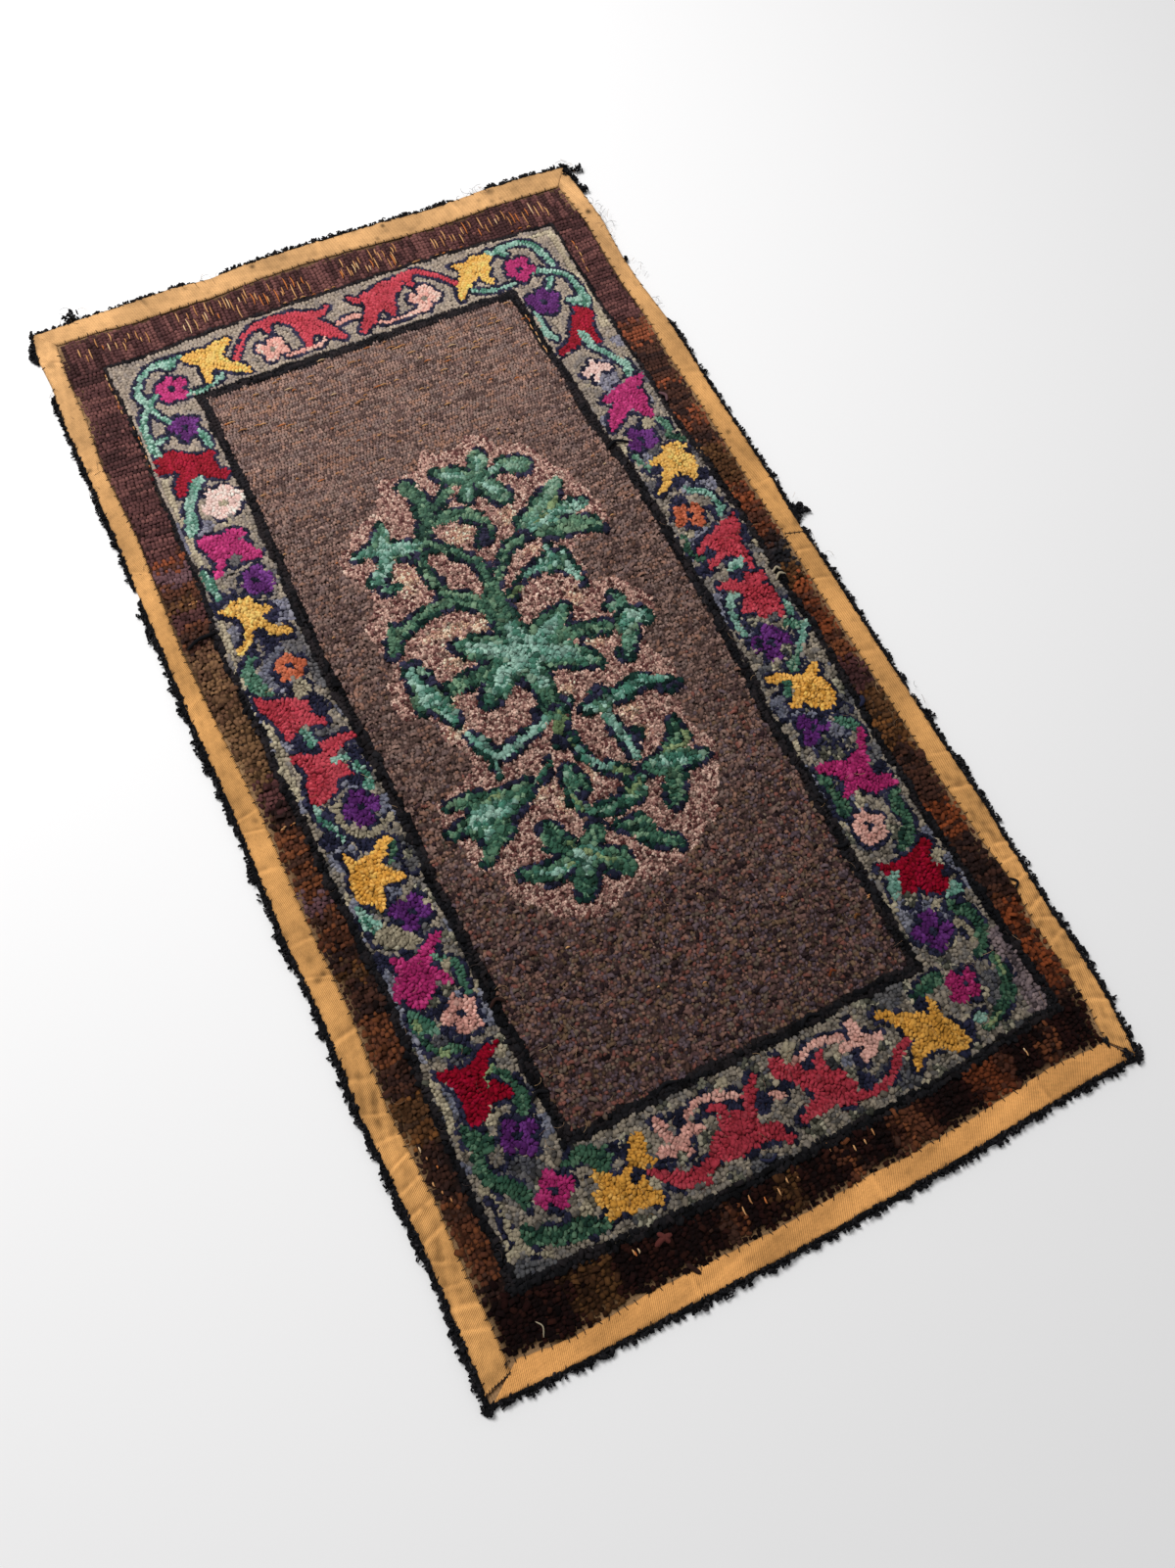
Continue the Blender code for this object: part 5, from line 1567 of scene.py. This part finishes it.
def tape_run(name, side, outer_start, inner_start, outer_end, inner_end, short):
    """A strip of tape: a thin sheet with a turned edge."""
    length = abs(outer_end - outer_start)
    t = np.linspace(0, 1, int(length / 1.6) + 1)[:, None]
    s = np.linspace(0, 1, 13)[None, :]
    along_out = outer_start + t * (outer_end - outer_start)
    along_in = inner_start + short + t * (inner_end - inner_start - short)
    wave = 0.5 * waves(along_out, 0 * along_out, 16.0, 81 + len(name)) * OUTWARD[side]
    nick = np.maximum(0, waves(along_out, 0 * along_out, 17.0, 91 + len(name)) - 0.35) * OUTWARD[side]
    out = edge(side, 1, along_out) - nick + 0.3 * wave
    inn = edge(side, 2, along_in) - 0.8 * wave
    along = along_out + s * (along_in - along_out)
    across = out + s * (inn - out)
    lift = tape_lift(side, along, s)
    height = TAPE_TOP + 0.3 * np.sin(math.pi * s) + lift
    for middle, half, rise in TAPE_PROFILE:
        height = height + rise * ridge(s, middle, half)
    height = np.maximum(height, TAPE_LOW + 0.35)
    ring_along = np.concatenate([along, along[:, ::-1]], axis=1)
    ring_across = np.concatenate([across, across[:, ::-1]], axis=1)
    ring_high = np.concatenate([height, np.full_like(height, TAPE_LOW)], axis=1)
    x, y = (ring_across, ring_along) if side in LONG_SIDES else (ring_along, ring_across)
    faces = tape_faces(len(t), ring_along.shape[1], side in ("right", "bottom"))
    # Painted light: the tape is lighter and paler towards the far end, nearer the window
    pale = smooth(y, 700.0, 1180.0)[..., None]
    base = linear(TAPE_NEAR) * (1.0 - pale) + linear(TAPE_FAR) * pale
    if side == "bottom":
        base = base * NEAR_RUN_TINT
    tone = tape_tone(along, s, lift)
    # Painted shade: the tape's underside and the lower part of its edges are darker
    tone = np.concatenate([tone, tone[:, ::-1] * 0.8], axis=1) * stain_shade(x, y)
    uv = np.stack([ring_along, ring_across], axis=-1).reshape(-1, 2) * MM
    colour = (base * tone[..., None]).reshape(-1, 3)
    made = joined(name.replace("binding", "tape"), row(x, y, ring_high), faces, colour, TAPE_LOOK, uv)
    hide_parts(name)
    return made


def tube_arrays(paths, radius, sides, colours):
    """Many round strands at once: paths has the points of each, and radius one value for each point."""
    n, k, _ = paths.shape
    ahead = np.gradient(paths, axis=1)
    ahead /= np.linalg.norm(ahead, axis=2, keepdims=True) + 1e-12
    up = np.where(np.abs(ahead[..., 2:3]) > 0.8, np.array((1.0, 0, 0)), np.array((0, 0, 1.0)))
    one = np.cross(ahead, up)
    one /= np.linalg.norm(one, axis=2, keepdims=True) + 1e-12
    two = np.cross(one, ahead)
    turn = np.arange(sides) * math.tau / sides
    round_ = one[:, :, None] * np.cos(turn)[:, None] + two[:, :, None] * np.sin(turn)[:, None]
    reach = np.broadcast_to(radius, (n, k))[:, :, None, None]
    points = (paths[:, :, None] + round_ * reach).reshape(-1, 3)
    faces = repeated(grid_faces(k, sides, True), k * sides, n)
    colour = np.broadcast_to(colours[:, None, None, :], (n, k, sides, 3)).reshape(-1, 3)
    return points, faces, colour


def tubes(name, paths, radius, sides, colours, look):
    """One object of many round strands."""
    return joined(name, *tube_arrays(paths, radius, sides, colours), look)


def merged(name, parts, look):
    """One object of several sets of points, faces and colours."""
    starts = np.cumsum([0] + [len(points) for points, _, _ in parts])
    faces = np.vstack([faces + start for (_, faces, _), start in zip(parts, starts)])
    return joined(name, np.vstack([p[0] for p in parts]), faces, np.vstack([p[2] for p in parts]), look)


def coils(x, y, z, size, turn, tilt, steps=6):
    """Paths of small open loops of yarn about their middles, in millimetres."""
    sweep = np.linspace(0.08, 0.92, steps) * math.tau
    u = np.cos(sweep)[None, :] * size[:, None]
    w = np.sin(sweep)[None, :] * size[:, None] * 0.85
    a = u * np.cos(turn)[:, None]
    b = u * np.sin(turn)[:, None] + w * np.sin(tilt)[:, None]
    high = np.maximum(z[:, None] + w * np.cos(tilt)[:, None], 1.1)
    return x[:, None] + a, y[:, None] + b, high


def picked(rng, table, count):
    """A shade for each of many strands, drawn by how common it is."""
    shades, shares = table
    return linear(np.array(shades))[rng.choice(len(shades), count, p=shares)]


def tuft_reach(side, along):
    """How much further the edging sticks out at its tufts."""
    reach = np.zeros(np.shape(along))
    for tuft_side, place, extra, half in TUFTS:
        if tuft_side == side:
            reach = np.maximum(reach, extra * np.maximum(0.0, 1.0 - np.abs(along - place) / half))
    return reach


def edging_core(side, start, end, width, lumps, reach):
    """The matted middle of the edging: a lumpy strip against the rim."""
    along = np.linspace(start + 0.5, end - 0.5, max(4, int((end - start) / 3.0)))[:, None]
    rng = np.random.default_rng(int(abs(start)) + 7)
    wide = (0.68 * width * lumps(along[:, 0]) + 0.8 * reach(along[:, 0]))[:, None]
    wide = wide * rng.uniform(0.85, 1.1, along.shape)
    high = 4.6 * rng.uniform(0.8, 1.15, along.shape)
    out = np.concatenate([-0.6 + 0 * wide, -1.0 + 0 * wide, 0.4 * wide, 0.85 * wide, wide], axis=1)
    up = np.concatenate([0.7 + 0 * high, high + 0.9, high, 0.62 * high, 0.7 + 0 * high], axis=1)
    across = edge(side, 1, along) + OUTWARD[side] * out
    points = beside(side, across, np.broadcast_to(along, across.shape), up).reshape(-1, 3)
    return points, grid_faces(len(along), 5, True), np.broadcast_to(linear(CORE_SHADE), points.shape)


def edging(name, side, start, end, width, thick):
    """Loops of black yarn along the rim, matted together."""
    rng = np.random.default_rng(int(abs(start)) + len(name))
    n = int((end - start) / 1.15 * thick)
    along = np.sort(rng.uniform(start, end, n))

    def lumps(places):
        return 1.0 + 0.3 * waves(places, 0 * places, 26.0, 33 + len(name))

    def reach(places):
        return tuft_reach(side, places)

    taper = np.minimum(1.0, 0.45 + np.minimum(along - start, end - along) / 14.0)
    wide = (width * lumps(along) + reach(along)) * taper
    share = rng.uniform(-0.12, 0.92, n)
    level = (5.2 - 3.0 * np.maximum(share, 0) ** 2) * taper * rng.uniform(0.75, 1.1, n)
    size, turn, tilt = rng.uniform(1.5, 2.6, n), rng.uniform(0, math.tau, n), rng.normal(0, 0.9, n)
    a, c, z = coils(along, share * wide, level, size, turn, tilt, 5)
    paths = beside(side, edge(side, 1, a) + OUTWARD[side] * np.maximum(c, -1.8), a, z)
    radius = rng.uniform(0.7, 1.15, n)[:, None] * MM
    parts = [tube_arrays(paths, radius, 4, picked(rng, YARN_SHADES, n)),
             edging_core(side, start, end, width, lumps, reach)]
    made = merged(name.replace("edging", "yarn"), parts, YARN_LOOK)
    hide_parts(name)
    return made


def tangles():
    """Knots and tufts of the yarn that lie on the tape."""
    rng = np.random.default_rng(19)
    spots = np.array([(x + rng.normal(0, 0.5) * spread, y + rng.normal(0, 0.5) * spread)
                      for x, y, spread, count in TANGLES for _ in range(count)])
    n = len(spots)
    on_tape = spots[:, 0] < edge("right", 1, spots[:, 1])
    high = np.where(on_tape, rng.uniform(5.8, 8.0, n), rng.uniform(2.0, 6.0, n))
    x, y, z = coils(spots[:, 0], spots[:, 1], high, rng.uniform(1.4, 2.6, n),
                    rng.uniform(0, math.tau, n), rng.normal(0, 1.2, n))
    made = tubes("yarn_tangles", row(x, y, z), 0.85 * MM, 5, picked(rng, YARN_SHADES, n), YARN_LOOK)
    return made


def hairs(points=6):
    """Wispy threads at the worn places."""
    rng = np.random.default_rng(23)
    share = np.linspace(0, 1, points)
    paths = []
    for (x0, y0), (x1, y1), count, base in HAIRS:
        for _ in range(count):
            x, y = rng.uniform(x0, x1), rng.uniform(y0, y1)
            turn, bow = rng.uniform(0, math.tau), rng.normal(0, 0.9)
            steps = share * rng.uniform(5, 14)
            headings = turn + bow * share
            z = rng.uniform(base, base + 5.0) + np.sin(np.linspace(0, 3.0, points)) * rng.uniform(0.5, 2.2)
            paths.append(row(x + steps * np.cos(headings), y + steps * np.sin(headings), z))
    colours = picked(rng, HAIR_SHADES, len(paths))
    return tubes("loose_hairs", np.array(paths), 0.17 * MM, 3, colours, YARN_LOOK)


def cloth_gaps():
    """Short glints of the tan ground cloth between the rows of loops."""
    rng = np.random.default_rng(29)
    paths = []
    for start, end, count, longest, upright in GAPS:
        for k in range(count):
            share = (k + rng.uniform(0.1, 0.9)) / count
            x = start[0] + share * (end[0] - start[0])
            y = rng.uniform(min(start[1], end[1]) - 1.0, max(start[1], end[1]) + 1.0)
            if abs(end[1] - start[1]) > abs(end[0] - start[0]):
                x = rng.uniform(min(start[0], end[0]) - 1.0, max(start[0], end[0]) + 1.0)
                y = start[1] + share * (end[1] - start[1])
            run = np.linspace(-0.5, 0.5, 4) * rng.uniform(0.35, 1.0) * longest
            bow = np.array((0, 0.4, 0.3, 0)) * rng.normal(0, 1.2)
            px, py = (x + bow, y + run) if upright else (x + run, y + bow)
            paths.append(row(px, py, top_height(px, py) + np.array((-0.8, 0.1, 0.1, -0.8))))
    colours = picked(rng, GLINT_SHADES, len(paths))
    radius = np.array((0.4, 0.85, 0.85, 0.4)) * MM
    made = tubes("ground_cloth_gaps", np.array(paths), radius, 4, colours, WOOL_LOOK)
    return made


def loose_strips():
    """Ends and loops of wool that have come up out of the pile."""
    parts = []
    for wool, half, points in LOOSE:
        line = bend(points, 4)
        x, y = line[:, 0], line[:, 1]
        path = row(x, y, top_height(x, y) + line[:, 2] + 0.4)[None]
        colour = linear(np.array(YARNS[wool][0]))[:1]
        ends = np.interp(np.linspace(0, 1, len(line)), (0, 0.15, 0.85, 1), (0.5, 1, 1, 0.5))
        parts.append(tube_arrays(path, half * ends * MM, 7, colour))
    return merged("loose_strips", parts, WOOL_LOOK)


def overhand():
    """The stitches along the tape's inner edge, and the small dark nicks at its outer edge."""
    rng = np.random.default_rng(5)
    paths = []
    for side, stop in SEWING_STOPS.items():
        for column, along, slants, reaches, still, heights, spaces in SEWING:
            while along < stop:
                a = along + np.linspace(-0.5, 0.5, 4) * rng.uniform(*slants)
                far = rng.uniform(*reaches)
                ends = (-far, still) if column == 2 else (still, far)
                c = edge(side, column, along) - OUTWARD[side] * np.linspace(*ends, 4)
                paths.append(beside(side, c, a, TAPE_TOP + np.array(heights)))
                along += rng.uniform(*spaces)
    return paths


def stitches(dashes=6):
    """Overhand stitches of dark thread along the tape, and the stitched seams."""
    paths = overhand()
    off = np.array((-1.6, -0.6, 0.6, 1.6))
    for points, count in SEAMS:
        seam = bend(points)
        run = np.linspace(0, 1, len(seam))
        for share in np.linspace(0.04, 0.96, count):
            x, y = np.interp(share, run, seam[:, 0]), np.interp(share, run, seam[:, 1])
            paths.append(row(x + 0.35 * off, y + off, TAPE_TOP + np.array((0.2, 1.0, 1.0, 0.2))))
        for share in np.linspace(0, 1, dashes + 1)[:-1]:
            part = np.linspace(share, share + 1 / dashes, 4)
            x, y = np.interp(part, run, seam[:, 0]), np.interp(part, run, seam[:, 1])
            paths.append(row(x, y, np.full(4, TAPE_TOP + 0.35)))
    colour = np.broadcast_to(linear(THREAD_SHADE), (len(paths), 3))
    made = tubes("binding_stitches", np.array(paths), 0.42 * MM, 5, colour, YARN_LOOK)
    return made


# The room

def floor():
    """A plain floor."""
    material, _, shader = start_material("floor", 0.75, 0.0)
    shader.inputs["Base Color"].default_value = FLOOR_COLOUR
    far = FLOOR_HALF
    mesh = bpy.data.meshes.new("floor")
    mesh.from_pydata([(-far, -far, 0), (far, -far, 0), (far, far, 0), (-far, far, 0)], [], [(0, 1, 2, 3)])
    mesh.materials.append(material)
    made = bpy.data.objects.new("floor", mesh)
    made.location.z = -FLOOR_DROP
    bpy.context.collection.objects.link(made)


def lighting():
    """Daylight from a window beyond the far left corner, and a white room."""
    world = bpy.data.worlds.new("studio")
    world.use_nodes = True
    back = world.node_tree.nodes["Background"]
    back.inputs["Color"].default_value = SKY_COLOUR
    back.inputs["Strength"].default_value = SKY_STRENGTH
    bpy.context.scene.world = world
    data = bpy.data.lights.new("window", "AREA")
    data.size = WINDOW_SIZE
    data.energy = WINDOW_POWER
    data.color = WINDOW_COLOUR
    made = bpy.data.objects.new("window", data)
    made.location = WINDOW_SPOT
    made.rotation_euler = (-Vector(WINDOW_SPOT)).to_track_quat("-Z", "Y").to_euler()
    bpy.context.collection.objects.link(made)
    bpy.context.scene.view_settings.view_transform = "Standard"


def camera():
    """The camera, above the near left part of the rug."""
    data = bpy.data.cameras.new("camera")
    data.lens = CAMERA_LENS
    data.sensor_width = CAMERA_SENSOR
    made = bpy.data.objects.new("camera", data)
    made.location = CAMERA_SPOT
    made.rotation_euler = Euler([math.radians(a) for a in CAMERA_TURN], "XYZ")
    bpy.context.collection.objects.link(made)
    bpy.context.scene.camera = made


cloth = ground_cloth()
pile = hook_pile()
for run in RUNS:
    tape_run(*run)
for stretch in STRETCHES:
    edging(*stretch)
stitches()
tangles()
hairs()
cloth_gaps()
loose_strips()
floor()
lighting()
camera()
